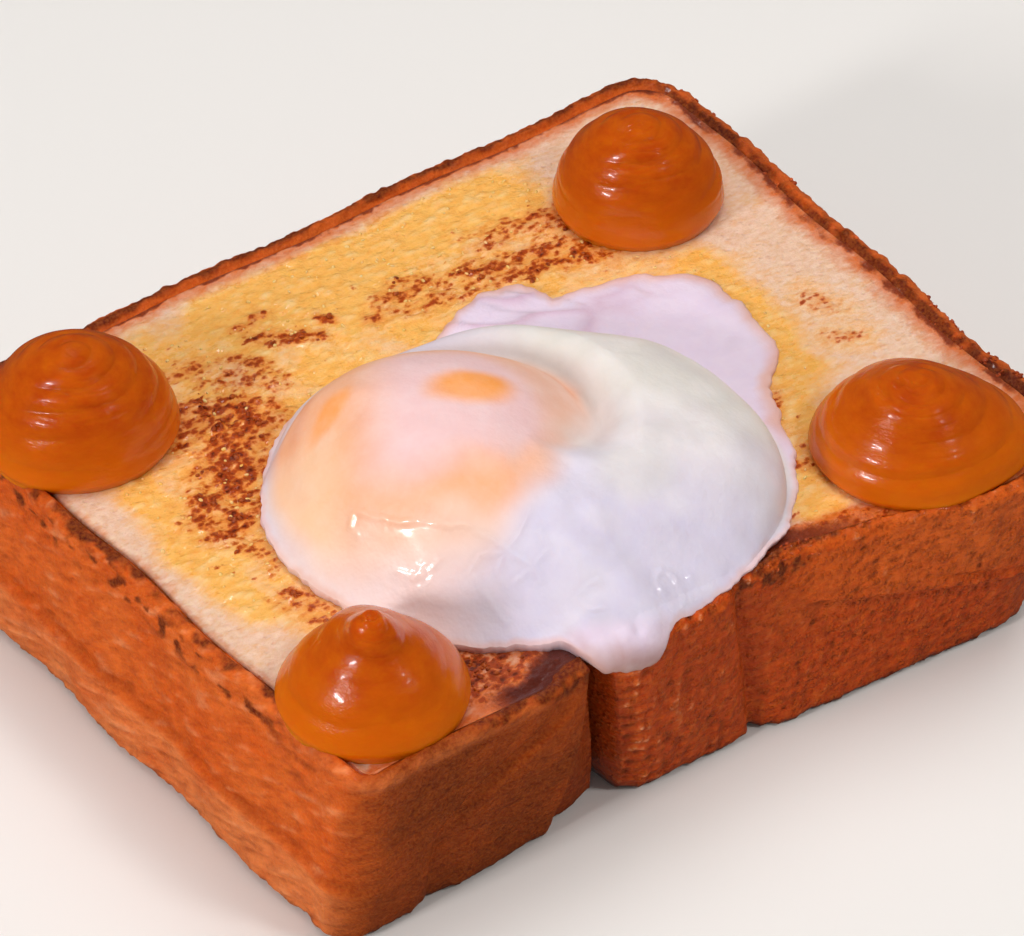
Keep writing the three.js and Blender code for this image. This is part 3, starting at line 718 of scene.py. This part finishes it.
# How far the thin flap reaches past the thick white.
FLAP_ANGLES = [0, 22, 33, 41, 52, 62, 71, 80, 84, 90, 97, 104, 116]
FLAP_REACHES = [0, 3.2, 6.0, 13, 18.2, 21.5, 19.5, 14.5, 12.4, 14.6, 12.5, 8.4, 0]


def thick_reach(angle):
    oval = 1 / np.hypot(np.cos(angle) / HALF_LENGTH, np.sin(angle) / HALF_WIDTH)
    return oval + 0.5 * np.sin(3 * angle + 0.6) + 0.35 * np.sin(7 * angle + 2.0)


def tongue_share(angle):
    degrees = np.degrees(angle)
    return ease(-82, -73, degrees) * ease(-53, -61, degrees)


def running_reach(angle):
    return thick_reach(angle) + 1.2 + 1.6 * hump(np.degrees(angle), -67, 24)


def thin_reach(angle):
    degrees = np.degrees(angle)
    flap = np.interp(degrees, FLAP_ANGLES, FLAP_REACHES)
    tongue = 4.8 * tongue_share(angle)
    circle = np.column_stack([np.cos(angle), np.sin(angle), 0 * angle])
    frill = 0.7 * grain(circle, 5.0, 127) + 0.6 * grain(circle, 14.0, 131) + 0.45 * grain(circle, 34.0, 133)
    return thick_reach(angle) + 1.2 + flap + tongue + frill * (0.6 + 0.9 * ease(0, 8, flap))


turns = np.linspace(-math.pi, math.pi, 480, endpoint=False)
circled = np.column_stack([np.cos(turns), np.sin(turns)])
thick_edge = circled * thick_reach(turns)[:, None]
thin_edge = circled * thin_reach(turns)[:, None]
yolk_centre = np.array([YOLK_ALONG, YOLK_ACROSS])
yolk_ways = thick_edge - yolk_centre
edge_gaps = np.linalg.norm(yolk_ways, axis=1)
yolk_ways /= edge_gaps[:, None]
running_edge = circled * running_reach(turns)[:, None] - yolk_centre
outer_gaps = np.linalg.norm(running_edge, axis=1)
outer_degrees = np.degrees(np.arctan2(running_edge[:, 1], running_edge[:, 0]))


def egg_skin(along, across):
    """Height of the skin over the crumb: a yolk dome and a lower, broader dome
    of white that run together, sharply at the back and softly in front."""
    angle = np.arctan2(across, along)
    radius = np.hypot(along, across)
    thick, thin = thick_reach(angle), thin_reach(angle)
    degrees = np.mod(np.degrees(angle), 360)
    running_out = ease(150, 190, degrees) * ease(350, 322, degrees)
    border = mix(thick, running_reach(angle), running_out)
    inside = np.minimum(1, radius / border)
    off = np.hypot(along - YOLK_ALONG, across - YOLK_ACROSS)
    way = np.degrees(np.arctan2(across - YOLK_ACROSS, along - YOLK_ALONG))
    turn = np.mod(way + 90, 360) - 90
    behind = ease(27, 20, off) * ease(-25, 10, turn) * ease(190, 150, turn)
    hollow = np.maximum(0.68 * ease(2, -12, along) * ease(12, 0, across), 0.38 * behind)
    lip = mix(WHITE_LIP, 0.45, np.maximum(ease(8, -6, across), running_out)) + 0.7 * tongue_share(angle)
    running = ease(5, -12, across + 0.3 * along)
    dome = (1 - inside ** mix(4, 3.1, running)) ** mix(0.46, 1.3, running)
    white = lip + (WHITE_HEIGHT - lip) * (1 - hollow) * dome
    spread_out = np.clip((radius - border) / np.maximum(thin - border, 0.05), 0, 1)
    thin_height = lip * (1 - 0.3 * spread_out) * np.sqrt(np.maximum(0, 1 - spread_out**8))
    white = np.where(radius > border, thin_height, white)
    in_front = np.maximum(ease(-2, -76, turn), ease(150, 190, turn))
    reach = YOLK_RADIUS + 2.2 * hump(turn, 25, 70)
    reach = mix(reach, np.interp(way, outer_degrees, outer_gaps, period=360), in_front)
    dome = np.maximum(0, 1 - (off / reach) ** mix(2, 2.3, in_front)) ** mix(0.5, 1.15, in_front)
    seat = mix(YOLK_SEAT, lip, in_front)
    falling = mix(4, 1.1, ease(20, -25, turn)) * np.maximum(0, off - reach)
    yolk = seat + (YOLK_HEIGHT - seat) * dome - falling
    softness = mix(0.8, mix(2.6, 4.5, ease(-4, 6, along)), np.maximum(ease(6, 13, along), in_front))
    share = np.clip(0.5 + (yolk - white) / (2 * softness), 0, 1)
    return mix(white, yolk, share) + softness * share * (1 - share)


def on_toast(along, across, height):
    """Places on the slice, in mm, bent down over the rim where they pass it."""
    turned_x = along * math.cos(EGG_TURN) - across * math.sin(EGG_TURN) + EGG_PLACE[0]
    turned_y = along * math.sin(EGG_TURN) + across * math.cos(EGG_TURN) + EGG_PLACE[1]
    beyond = turned_x - RIM_X
    base = CRUMB_TOP + 0.9 * ease(RIM_X - 6, RIM_X - 1, turned_x)
    bend = np.clip(beyond / RIM_BEND, 0, 0.46 * math.pi)
    rest = np.maximum(0, beyond - bend * RIM_BEND)
    bent_x = RIM_X + (RIM_BEND + height) * np.sin(bend) + rest * np.cos(bend)
    bent_z = base - RIM_BEND + (RIM_BEND + height) * np.cos(bend) - rest * np.sin(bend)
    flat = beyond <= 0
    x, z = np.where(flat, turned_x, bent_x), np.where(flat, base + height, bent_z)
    return np.column_stack([x, turned_y, z])


def wrinkles(along, across):
    """How far the film's raised wrinkles stand up, in mm, and how near each
    place is to one: 1 on it, 0 beyond 2 mm."""
    flat = np.column_stack([along, across, 0 * along])
    strayed = flat[:, :2] + 0.3 * np.column_stack([grain(flat, 0.5, 147), grain(flat, 0.5, 149)])
    raised, beside = np.zeros(len(along)), np.zeros(len(along))
    for height, half_width, stops in WRINKLES:
        for start, end in zip(stops, stops[1:]):
            start, step = np.array(start, float), np.subtract(end, start)
            share = np.clip((strayed - start) @ step / (step @ step), 0, 1)
            away = np.linalg.norm(strayed - start - share[:, None] * step, axis=1)
            raised = np.maximum(raised, height * ease(half_width, 0, away))
            beside = np.maximum(beside, ease(1.6, 0.5, away))
    return raised * (0.75 + 0.5 * grain(flat, 0.9, 151)), beside


def skin_waves(along, across):
    """Soft dents of the set white, the creases of its flap, the wrinkles and a
    pinhole, in mm."""
    flat = np.column_stack([along, across, 0 * along])
    soft = 0.30 * grain(flat, 0.09, 137) + 0.14 * grain(flat, 0.2, 139)
    on_white = ease(-2, 8, along - 0.4 * across)
    soft += on_white * (0.22 * grain(flat, 0.16, 153) + 0.07 * grain(flat, 0.5, 141))
    soft += 0.35 * ease(-8, -18, across) * ease(-6, 6, along) * grain(flat, 0.13, 155)
    radius, angle = np.hypot(along, across), np.arctan2(across, along)
    on_flap = ease(0, 2.5, radius - thick_reach(angle)) * ease(28, 34, radius) * ease(-4, 12, across)
    creases = (1 - np.abs(grain(flat, 0.2, 143, (0.5, 1, 1)))) ** 6
    soft += on_flap * (0.5 * creases * ease(16, 2, along) + 0.3 * grain(flat, 0.3, 145) - 0.1)
    soft += 0.12 * ease(3.4, 1, np.hypot(along + 12.6, 1.6 * (across + 21.4))) * grain(flat, 1.3, 159)
    pinhole = 0.5 * np.exp(-((along - 13.6) ** 2 + (across + 27.2) ** 2) / 0.35)
    return soft + wrinkles(along, across)[0] - pinhole


EGG_AROUND = len(turns)
yolk_edge = yolk_centre + yolk_ways * YOLK_RADIUS
over_yolk = [
    yolk_centre + yolk_ways * YOLK_RADIUS * math.sin(part * math.pi / 2)
    for part in np.linspace(0.012, 1, 90)
]
over_white = [
    mix(yolk_edge, thick_edge, 0.5 - 0.5 * math.cos(part * math.pi))
    for part in np.linspace(0, 1, 92)[1:]
]
over_white += [mix(thick_edge, thin_edge, part**0.9) for part in np.linspace(0, 1, 42)[1:]]


def egg_piece(name, rings, sunk, inner, outer):
    """A closed body: the rings on the common skin, some of them sunk under the
    other piece's skin, closed by further rings at given heights."""
    plan = np.vstack(rings)
    calm = ease(0, 2.5, np.concatenate([np.linalg.norm(thin_edge - ring, axis=1) for ring in rings]))
    skin = on_toast(*plan.T, egg_skin(*plan.T) + skin_waves(*plan.T) * calm)
    opening = [on_toast(*ring.T, np.full(EGG_AROUND, level)) for ring, level in inner]
    closing = [on_toast(*ring.T, np.full(EGG_AROUND, level)) for ring, level in outer]
    ends = (inner[0], outer[-1])
    hubs = [on_toast(*ring.mean(axis=0)[:, None], np.array([level])) for ring, level in ends]
    everything = np.vstack(opening + [skin] + closing + hubs)
    count = len(everything) // EGG_AROUND
    faces = [face[::-1] for face in grid_faces(count, EGG_AROUND)]
    first_hub, last_hub = count * EGG_AROUND, count * EGG_AROUND + 1
    last = (count - 1) * EGG_AROUND
    faces += fan(first_hub, 0, EGG_AROUND)
    faces += [face[::-1] for face in fan(last_hub, last, EGG_AROUND)]
    piece = make_mesh(name, everything, faces)
    vertices = piece.data.vertices
    normals = [vertex.normal.copy() for vertex in vertices]
    lead = len(inner) * EGG_AROUND
    for index, depth in sunk.items():
        for i in range(EGG_AROUND):
            vertex = vertices[lead + index * EGG_AROUND + i]
            vertex.co -= normals[vertex.index] * depth[i] * MM
    piece.data.normals_split_custom_set_from_vertices(normals)
    all_rings = [ring for ring, _ in inner] + rings + [ring for ring, _ in outer]
    return piece, np.vstack(all_rings + [yolk_centre, yolk_centre])


def ring_gap(ring):
    return np.linalg.norm(ring - yolk_edge, axis=1)


# Each piece runs on under the other for a few rings, further and further apart.
# A closing ring has its plan and its height over the crumb.
hidden_inside = [over_yolk[-1 - k] for k in (32, 23, 16, 10, 6, 3, 1)]
hidden_outside = [over_white[k - 1] for k in (1, 2, 4, 7, 11, 16)]
white_rings = hidden_inside + [yolk_edge] + over_white
egg_white, white_plan = egg_piece(
    "poached_white", white_rings,
    {k: 0.5 * ring_gap(ring) for k, ring in enumerate(hidden_inside)},
    [(yolk_centre + yolk_ways * 4, 2.0), (yolk_centre + yolk_ways * 13, 3.0)],
    [(0.985 * thin_edge, -0.9), (0.9 * thin_edge, -1.0), (0.5 * thin_edge, -1.0)],
)
yolk_rings = over_yolk + hidden_outside
egg_yolk, yolk_plan = egg_piece(
    "poached_yolk", yolk_rings,
    {len(over_yolk) + k: 0.5 * ring_gap(ring) for k, ring in enumerate(hidden_outside)},
    [(yolk_centre + yolk_ways * 0.1, YOLK_HEIGHT)],
    [(yolk_centre + yolk_ways * reach, level) for reach, level in ((17, 1.6), (11, 0.6), (4, 0.4))],
)


def blot(along, across, centre, reach, turn=0.0):
    """1 in the middle of a soft oval blot, 0 outside it."""
    off_along, off_across = along - centre[0], across - centre[1]
    cosine, sine = math.cos(math.radians(turn)), math.sin(math.radians(turn))
    long_way = (off_along * cosine + off_across * sine) / reach[0]
    short_way = (off_across * cosine - off_along * sine) / reach[1]
    return ease(1.25, 0.5, np.hypot(long_way, short_way))


def egg_colours(plan):
    """The white's lavender, grey and cream, and the film over the yolk."""
    along, across = plan.T
    flat = np.column_stack([plan, 0 * along])
    angle, radius = np.arctan2(across, along), np.hypot(along, across)
    past_thick = radius - thick_reach(angle)
    cloud = grain(flat, 0.10, 157) + 0.4 * grain(flat, 0.25, 163)
    curds = grain(flat, 0.22, 165)
    folds = (1 - np.abs(grain(flat, 0.2, 143, (0.5, 1, 1)))) ** 5
    folds *= ease(0, 3, past_thick) * ease(22, 6, along) * ease(-4, 12, across)
    foot = hump(past_thick, 0, 0.7) * ease(-2, 10, across) * (0.6 + 0.6 * cloud)
    rim_gap = thin_reach(angle) - radius
    sheer = ease(3.6, 0.2, rim_gap + 1.2 * cloud) * ease(6, 14, across)
    sheer = np.maximum(sheer, 0.6 * ease(1.0, 0.1, rim_gap + 0.4 * cloud))
    off_along, off_across = along - YOLK_ALONG, across - YOLK_ACROSS
    off = np.hypot(off_along, off_across)
    way = np.degrees(np.arctan2(off_across, off_along))
    edge_off = 18 + 2.4 * hump(way, 25, 70)
    # The valley just behind the yolk's edge, where painted shade goes.
    valley = hump(off, edge_off + 2, 2.6) * ease(-14, 4, way) * ease(170, 130, way)
    white = paint_over(np.tile(linear("#d8cfd2"), (len(along), 1)), (
        ("#dad4cc", ease(-6, 10, across + 6 * cloud) * ease(-6, 4, along)),
        ("#d3cbde", ease(2, -16, across + 5 * cloud)),
        ("#cbc8bd", 0.4 * blot(along, across, (14, -8), (5.5, 4.5), 20)),
        ("#cfc2cc", ease(-2, -12, along) * ease(-6, 6, across)),
        ("#ece4e4", 0.25 * ease(-0.1, 0.5, curds) * ease(0, 8, along)),
        ("#c4bbbd", 0.2 * ease(0.1, -0.5, curds) * ease(0, 8, along)),
        ("#e0cee0", ease(0, 2, past_thick)),
        ("#c49ab0", 0.7 * folds),
        ("#e6ccc8", ease(2, -14, along) * ease(-6, -14, across)),
        ("#cfa283", 0.7 * foot),
        ("#dca084", 0.75 * sheer),
        ("#a9715c", 0.75 * ease(4.4, 0.5, rim_gap + 1.5 * cloud) * tongue_share(angle)),
        # Painted shade with a brownish tint in the valley behind the yolk.
        ("#cdb4ac", 0.5 * valley),
    ))
    rosy = ease(-12, -3, across + 3 * cloud - 0.25 * along) * ease(-24, -14, along) * ease(17, 12, off)
    dome_edge = hump(off, edge_off, 1.7) * ease(-14, 10, way + 360 * (way < -150))
    peach = paint_over(np.tile(linear("#efae84"), (len(along), 1)), (
        ("#e9c1c0", rosy),
        ("#f0c6b0", ease(-10, -19, across + 3 * cloud)),
        ("#e0b4a2", 0.8 * ease(11, 16, off) * hump(way, 25, 55)),
        ("#e6a27c", 0.9 * dome_edge),
        # Painted light: the yolk's left side is painted paler to lift it out of its shade.
        ("#fbd3ae", 0.7 * ease(-20, -27, along) * ease(5, -3, across)),
    ))
    for centre, reach, turn, strength in PATCHES:
        patch = strength * blot(along + cloud, across + cloud, centre, reach, turn)
        peach = paint_over(peach, (("#f6a052", patch),))
    start = np.interp(way, FILM_ANGLES, FILM_STARTS, period=360)
    end = np.interp(way, FILM_ANGLES, FILM_ENDS, period=360)
    film = np.clip((end - off - 0.25 * cloud * (end - start)) / (end - start), 0, 1)
    return mix(white, peach, (film * film * (3 - 2 * film))[:, None])


for piece, plan in ((egg_white, white_plan), (egg_yolk, yolk_plan)):
    from_seam = np.abs(np.linalg.norm(plan - yolk_centre, axis=1) - YOLK_RADIUS)
    paint(piece, "skin", egg_colours(plan))
    paint(piece, "depth", ease(0.2, 2.6, from_seam))
    paint(piece, "wet", wrinkles(*plan.T)[1])

egg_finish, tree, shader = start_material("set_egg")
cloud = spread(tree, noise_mm(tree, 0.22, 4, 0.6), 0.35, 0.7, 0, 0.12)
wet = painted(tree, "wet")
uneven = math_node(tree, "SUBTRACT", noise_mm(tree, 0.5, 3), math_node(tree, "MULTIPLY", wet, 0.5))
dents = bump(tree, noise_mm(tree, 0.35, 3, 0.5), 0.3, 0.5)
feed(tree, shader, {
    "Base Color": mix_colour(tree, cloud, painted(tree, "skin", "Color"), "#ffffff"),
    "Roughness": spread(tree, uneven, 0, 0.7, 0.3, 0.52),
    "Normal": bump(tree, noise_mm(tree, 1.4, 3, 0.5), 0.18, 0.15, dents),
    "Coat Weight": spread(tree, wet, 0.2, 1, 0.04, 0.75),
    "Coat Roughness": 0.1,
    "Specular IOR Level": 0.35,
    "Subsurface Weight": math_node(tree, "MULTIPLY", painted(tree, "depth"), 0.34),
    "Subsurface Radius": (1.0, 0.75, 0.6),
    "Subsurface Scale": 1.2 * MM,
})
for piece, node in ((egg_white, "egg_white"), (egg_yolk, "egg_yolk")):
    piece.data.materials.append(egg_finish)
    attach(piece, "root")
    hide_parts(node)

# ---- Kaya --------------------------------------------------------------------
# Coconut and egg jam, caramel brown, smooth and still runny enough to slump.
# Each mound is piped in one winding coil from the foot up, which leaves a
# spiral of soft ridges and a small drawn-up point.

kaya_finish, tree, shader = start_material("kaya_jam")
streak = noise_mm(tree, 0.3, 4, 0.6, (1, 1, 2.2))
colour = mix_colour(tree, spread(tree, streak, 0.3, 0.7), "#ae4202", "#c25a04")
# Height in the mound, which sets the painted glow towards its foot.
height = add(tree, "ShaderNodeSeparateXYZ", {"Vector": place_mm(tree, 1)}).outputs["Z"]
uneven_height = math_node(tree, "ADD", height, math_node(tree, "MULTIPLY", streak, 3))
swirls = bump(tree, noise_mm(tree, 0.5, 4, 0.55, (1, 1, 2.5)), 0.3, 0.5)
feed(tree, shader, {
    # Painted light: brighter orange towards the foot, the glow of light through the jam and from the toast
    # below.
    "Base Color": mix_colour(tree, spread(tree, uneven_height, 38, 29.5, 0, 0.75), colour, "#e07402"),
    "Roughness": 0.24,
    "Normal": bump(tree, noise_mm(tree, 1.6, 3, 0.6, (1, 1, 3)), 0.25, 0.15, swirls),
    "Coat Weight": 0.35,
    "Coat Roughness": 0.08,
    "Specular IOR Level": 0.25,
    "Subsurface Weight": 0.8,
    "Subsurface Radius": (1.0, 0.35, 0.05),
    "Subsurface Scale": 3.0 * MM,
})

for name, x, y, radius, peak, coils, ridge_height, start, lobe in (
    ("kaya_front", 32.7, -47.4, 12.2, 1.0, 4.5, 0.38, 0.9, 0.0),
    ("kaya_left", -31.1, -49.0, 13.2, 0.12, 6.5, 0.42, 2.1, 0.0),
    ("kaya_back", -26.0, 39.9, 12.1, 0.1, 6.0, 0.34, 4.0, 0.0),
    ("kaya_right", 37.2, 35.0, 13.5, 0.4, 6.5, 0.42, 5.2, 3.0),
):
    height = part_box(name)[1].z / MM - CRUMB_TOP
    seed = len(name)
    around, levels = 210, 120
    angle = np.tile(np.linspace(0, 2 * math.pi, around, endpoint=False), levels)
    rise = np.repeat(np.linspace(0, 0.985, levels), around)
    level = np.sin(rise * math.pi / 2)
    rounded = np.maximum(0, 1 - level**2.3) ** 0.55
    shoulder = 0.96 * np.maximum(0, 1 - (level / 0.8) ** 1.9) ** 0.75
    tip = 0.38 * np.maximum(0, 1 - level**4) ** 0.7
    pointed = 0.5 * (shoulder + tip + np.sqrt((shoulder - tip) ** 2 + 0.014)) + 0.05 * (1 - level) ** 2
    profile = mix(rounded, pointed, peak) * (0.93 + 0.07 * ease(0, 0.15, level))
    circle = np.column_stack([np.cos(angle), np.sin(angle), 2 * level])
    phase = 2 * math.pi * coils * rise - angle - start + 2.0 * grain(circle, 0.8, 3 * seed)
    fading = ease(0.06, 0.22, rise) * ease(0.97, 0.85, rise)
    fading *= 0.5 + 1.5 * grain(circle, 1.1, 5 * seed)
    ridge = ridge_height * (np.abs(np.sin(phase / 2)) - 0.64) * np.clip(fading, 0, 1)
    along_coil = 16 * rise + 0.25 * angle / math.pi
    dragged = np.column_stack([1.5 * np.cos(angle), 1.5 * np.sin(angle), along_coil])
    ridge += 0.05 * grain(dragged, 1.0, 7 * seed) * ease(0.1, 0.3, rise)
    second = 2 * math.pi * 1.7 * coils * rise + 2 * angle + 3 * grain(circle, 0.7, 13 * seed)
    groove = (1 - np.abs(np.sin(second / 2))) ** 3
    ridge -= 0.14 * groove * np.clip(2 * grain(circle, 1.0, 17 * seed), 0, 1)
    slump = 1 + 0.03 * grain(circle, 0.8, 11 * seed)
    from_fold = np.mod(angle - math.radians(75), 2 * math.pi) - math.pi / 2
    fold = 1.6 * peak * hump(level, 0.66, 0.22) * hump(from_fold, 0, 1.2)
    side_lobe = lobe * hump(angle, math.radians(60), 1.1) * (1 - level**2)
    reach = (radius * slump + side_lobe) * profile + fold + ridge * np.cos(rise * math.pi / 2)
    tip_lean = 0.5 * peak * np.sin(9 * level) * ease(0.7, 0.95, level)
    z = CRUMB_TOP - 0.5 + (height + 0.5) * level + ridge * rise
    places = np.column_stack([reach * np.cos(angle) + tip_lean, reach * np.sin(angle) - tip_lean, z])
    places[:, :2] += (x, y)
    top_place = places[-around:].mean(axis=0) + (0, 0, 0.02)
    places = np.vstack([places, [top_place, (x, y, CRUMB_TOP - 0.5)]])
    faces = grid_faces(levels, around)
    last = (levels - 1) * around
    faces += fan(levels * around, last, around)
    faces += [face[::-1] for face in fan(levels * around + 1, 0, around)]
    mound = make_mesh(name + "_jam", places, faces, 80)
    mound.data.materials.append(kaya_finish)
    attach(mound, "root")
    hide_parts(name)


# ---- Char grains, butter drops and rim crumbs --------------------------------
# Burnt grains of bread that stand up where the griddle charred the crumb, drops
# of melted butter, and the torn crumbs of the cut rim. One node tree scatters
# small uneven lumps over a piece, more of them where one of its zones is strong.

scatter = bpy.data.node_groups.new("scattered_lumps", "GeometryNodeTree")
identifiers = {}
for label, kind in (
    ("Piece", "Geometry"), ("Zone", "String"), ("Zone start", "Float"), ("Lumps per square metre", "Float"),
    ("Smallest", "Vector"), ("Largest", "Vector"), ("Roughness", "Float"), ("Seed", "Int"),
    ("Finish", "Material"),
):
    socket = scatter.interface.new_socket(label, in_out="INPUT", socket_type="NodeSocket" + kind)
    identifiers[label] = socket.identifier
scatter.interface.new_socket("Lumps", in_out="OUTPUT", socket_type="NodeSocketGeometry")
given = scatter.nodes.new("NodeGroupInput").outputs


def step(kind, inputs, output=0, **settings):
    return add(scatter, kind, inputs, **settings).outputs[output]


zone_share = step("GeometryNodeInputNamedAttribute", {"Name": given["Zone"]}, data_type="FLOAT")
share = step("ShaderNodeMapRange", {"Value": zone_share, "From Min": given["Zone start"], "From Max": 1.0})
density = math_node(scatter, "MULTIPLY", share, given["Lumps per square metre"])
spots = add(scatter, "GeometryNodeDistributePointsOnFaces", {
    "Mesh": given["Piece"], "Density": density, "Seed": given["Seed"],
}).outputs
lump = step("GeometryNodeMeshIcoSphere", {"Radius": 1.0, "Subdivisions": 2}, "Mesh")
sizes = {"Min": given["Smallest"], "Max": given["Largest"], "Seed": given["Seed"]}
size = step("FunctionNodeRandomValue", sizes, data_type="FLOAT_VECTOR")
turns_range = {"Min": (0, 0, 0), "Max": (0.6, 0.6, 6.28), "Seed": 7}
turn = step("FunctionNodeRandomValue", turns_range, data_type="FLOAT_VECTOR")
tilted = step("FunctionNodeRotateRotation", {
    "Rotation": spots["Rotation"], "Rotate By": step("FunctionNodeEulerToRotation", {"Euler": turn}),
}, rotation_space="LOCAL")
placed = step("GeometryNodeInstanceOnPoints", {
    "Points": spots["Points"], "Instance": lump, "Rotation": tilted, "Scale": size,
})
real = step("GeometryNodeRealizeInstances", {"Geometry": placed})
wobble = step("ShaderNodeTexNoise", {"Scale": 1.1 / MM, "Detail": 2.0}, "Color")
centred = step("ShaderNodeVectorMath", {0: wobble, 1: (0.5, 0.5, 0.5)}, operation="SUBTRACT")
shift = step("ShaderNodeVectorMath", {0: centred, "Scale": given["Roughness"]}, operation="SCALE")
uneven_lumps = step("GeometryNodeSetPosition", {"Geometry": real, "Offset": shift})
smooth_lumps = step("GeometryNodeSetShadeSmooth", {"Geometry": uneven_lumps})
finished = step("GeometryNodeSetMaterial", {"Geometry": smooth_lumps, "Material": given["Finish"]})
scatter.links.new(finished, scatter.nodes.new("NodeGroupOutput").inputs[0])


def lump_finish(name, dark, light, roughness, coat, subsurface):
    finish, tree, shader = start_material(name)
    share = spread(tree, noise_mm(tree, 0.7, 3, 0.6), 0.35, 0.65)
    feed(tree, shader, {
        "Base Color": mix_colour(tree, share, dark, light),
        "Roughness": roughness,
        "Normal": bump(tree, noise_mm(tree, 3.0, 2), 0.4, 0.1),
        "Coat Weight": coat,
        "Subsurface Weight": subsurface,
        "Subsurface Scale": 0.5 * MM,
    })
    return finish


for name, under, zone_name, zone_start, per_square_cm, smallest, largest, rough_mm, seed, finish in (
    ("char_grains", crumb, "fleck", 0.5, 110, (0.12, 0.12, 0.08), (0.5, 0.42, 0.26), 0.5, 3,
     lump_finish("char_grain", "#6e2002", "#b8540f", 0.45, 0.15, 0.1)),
    ("butter_drops", crumb, "butter", 0.35, 9, (0.12, 0.12, 0.1), (0.4, 0.36, 0.26), 0.15, 5,
     lump_finish("butter_drop", "#f4b95c", "#f8d494", 0.12, 1.0, 0.4)),
    ("rim_crumbs", crust, "crumbly", 0.2, 55, (0.1, 0.1, 0.1), (0.5, 0.4, 0.4), 0.5, 9,
     lump_finish("rim_crumb", "#7a2408", "#c85a22", 0.6, 0.05, 0.1)),
):
    host = put_in_scene(name + "_host", under.data)
    modifier = host.modifiers.new("scatter", "NODES")
    modifier.node_group = scatter
    for label, value in (
        ("Zone", zone_name), ("Zone start", zone_start), ("Lumps per square metre", per_square_cm * 1e4),
        ("Smallest", [v * MM for v in smallest]), ("Largest", [v * MM for v in largest]),
        ("Roughness", rough_mm * MM), ("Seed", seed), ("Finish", finish),
    ):
        modifier[identifiers[label]] = value
    graph = bpy.context.evaluated_depsgraph_get()
    lump_mesh = bpy.data.meshes.new_from_object(host.evaluated_get(graph), depsgraph=graph)
    lumps = put_in_scene(name, lump_mesh)
    host.modifiers.remove(modifier)
    bpy.data.objects.remove(host)
    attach(lumps, "root")

# ---- Floor, light and camera -------------------------------------------------
# A plain pale floor, a low window-like light from the left of the camera, a
# small lamp high on the right, a broad soft light overhead, a faint fill, and
# three small lamps that are only seen as glints.

floor_mesh = bpy.data.meshes.new("floor")
FLOOR_REACH = 1.6
floor_corners = [(x * FLOOR_REACH, y * FLOOR_REACH, 0) for x, y in ((-1, -1), (1, -1), (1, 1), (-1, 1))]
floor_mesh.from_pydata(floor_corners, [], [(0, 1, 2, 3)])
floor = put_in_scene("floor", floor_mesh)
floor_finish, tree, shader = start_material("pale_floor")
feed(tree, shader, {"Base Color": (0.80, 0.78, 0.75, 1), "Roughness": 0.6})
floor_mesh.materials.append(floor_finish)
floor.visible_glossy = False


def area_light(name, towards, distance, size, power, colour):
    light = bpy.data.lights.new(name, "AREA")
    light.shape = "RECTANGLE"
    light.size, light.size_y = size
    light.energy = power
    light.color = colour
    lamp = put_in_scene(name, light)
    direction = Vector(towards).normalized()
    lamp.location = Vector((0, 0, 0.02)) + direction * distance
    lamp.rotation_euler = direction.to_track_quat("Z", "Y").to_euler()
    return lamp


for name, towards, distance, size, power, colour in (
    ("window", (0.12, -0.95, 0.42), 0.9, (0.13, 0.18), 4.2, (1.0, 0.99, 0.98)),
    ("side_lamp", (0.62, 0.25, 0.72), 0.8, (0.12, 0.12), 1.5, (1.0, 0.98, 0.96)),
    ("overhead", (-0.2, 0.2, 1.0), 1.0, (0.9, 0.9), 6.8, (1.0, 0.98, 0.98)),
):
    area_light(name, towards, distance, size, power, colour).visible_glossy = False
for name, towards, size, power in (
    ("glint", (-0.08, -0.7, 0.71), (0.2, 0.045), 2.0),
    ("side_glint", (0.5, 0.36, 0.78), (0.06, 0.04), 0.2),
    ("back_glint", (-0.6, 0.2, 0.77), (0.05, 0.05), 0.08),
):
    lamp = area_light(name, towards, 0.9, size, power, (1.0, 0.99, 1.0))
    lamp.visible_diffuse = False
    lamp.visible_transmission = False
world = bpy.data.worlds.new("studio")
bpy.context.scene.world = world
world.use_nodes = True
sky = world.node_tree.nodes["Background"]
sky.inputs["Color"].default_value = (1, 0.98, 0.97, 1)
mirrored = add(world.node_tree, "ShaderNodeLightPath").outputs["Is Glossy Ray"]
feed(world.node_tree, sky, {"Strength": spread(world.node_tree, mirrored, 0, 1, 0.26, 0.05)})
bpy.context.scene.view_settings.view_transform = "Standard"

CAMERA_TURN, CAMERA_RISE, CAMERA_ROLL = math.radians(53), math.radians(40.5), math.radians(-0.3)
CAMERA_DISTANCE, CAMERA_AIM = 0.537, Vector((-0.0039, 0.0012, 0.0145))
backward = Vector((
    math.sin(CAMERA_TURN) * math.cos(CAMERA_RISE),
    -math.cos(CAMERA_TURN) * math.cos(CAMERA_RISE),
    math.sin(CAMERA_RISE),
))
rightward = (-backward).cross(Vector((0, 0, 1))).normalized()
upward = rightward.cross(-backward)
turned_right = rightward * math.cos(CAMERA_ROLL) + upward * math.sin(CAMERA_ROLL)
turned_up = upward * math.cos(CAMERA_ROLL) - rightward * math.sin(CAMERA_ROLL)
camera_data = bpy.data.cameras.new("camera")
camera_data.sensor_width, camera_data.lens = 36, 140.625
camera = put_in_scene("camera", camera_data)
camera.matrix_world = Matrix.Translation(CAMERA_AIM + backward * CAMERA_DISTANCE) @ Matrix(
    (turned_right, turned_up, backward)
).transposed().to_4x4()
bpy.context.scene.camera = camera
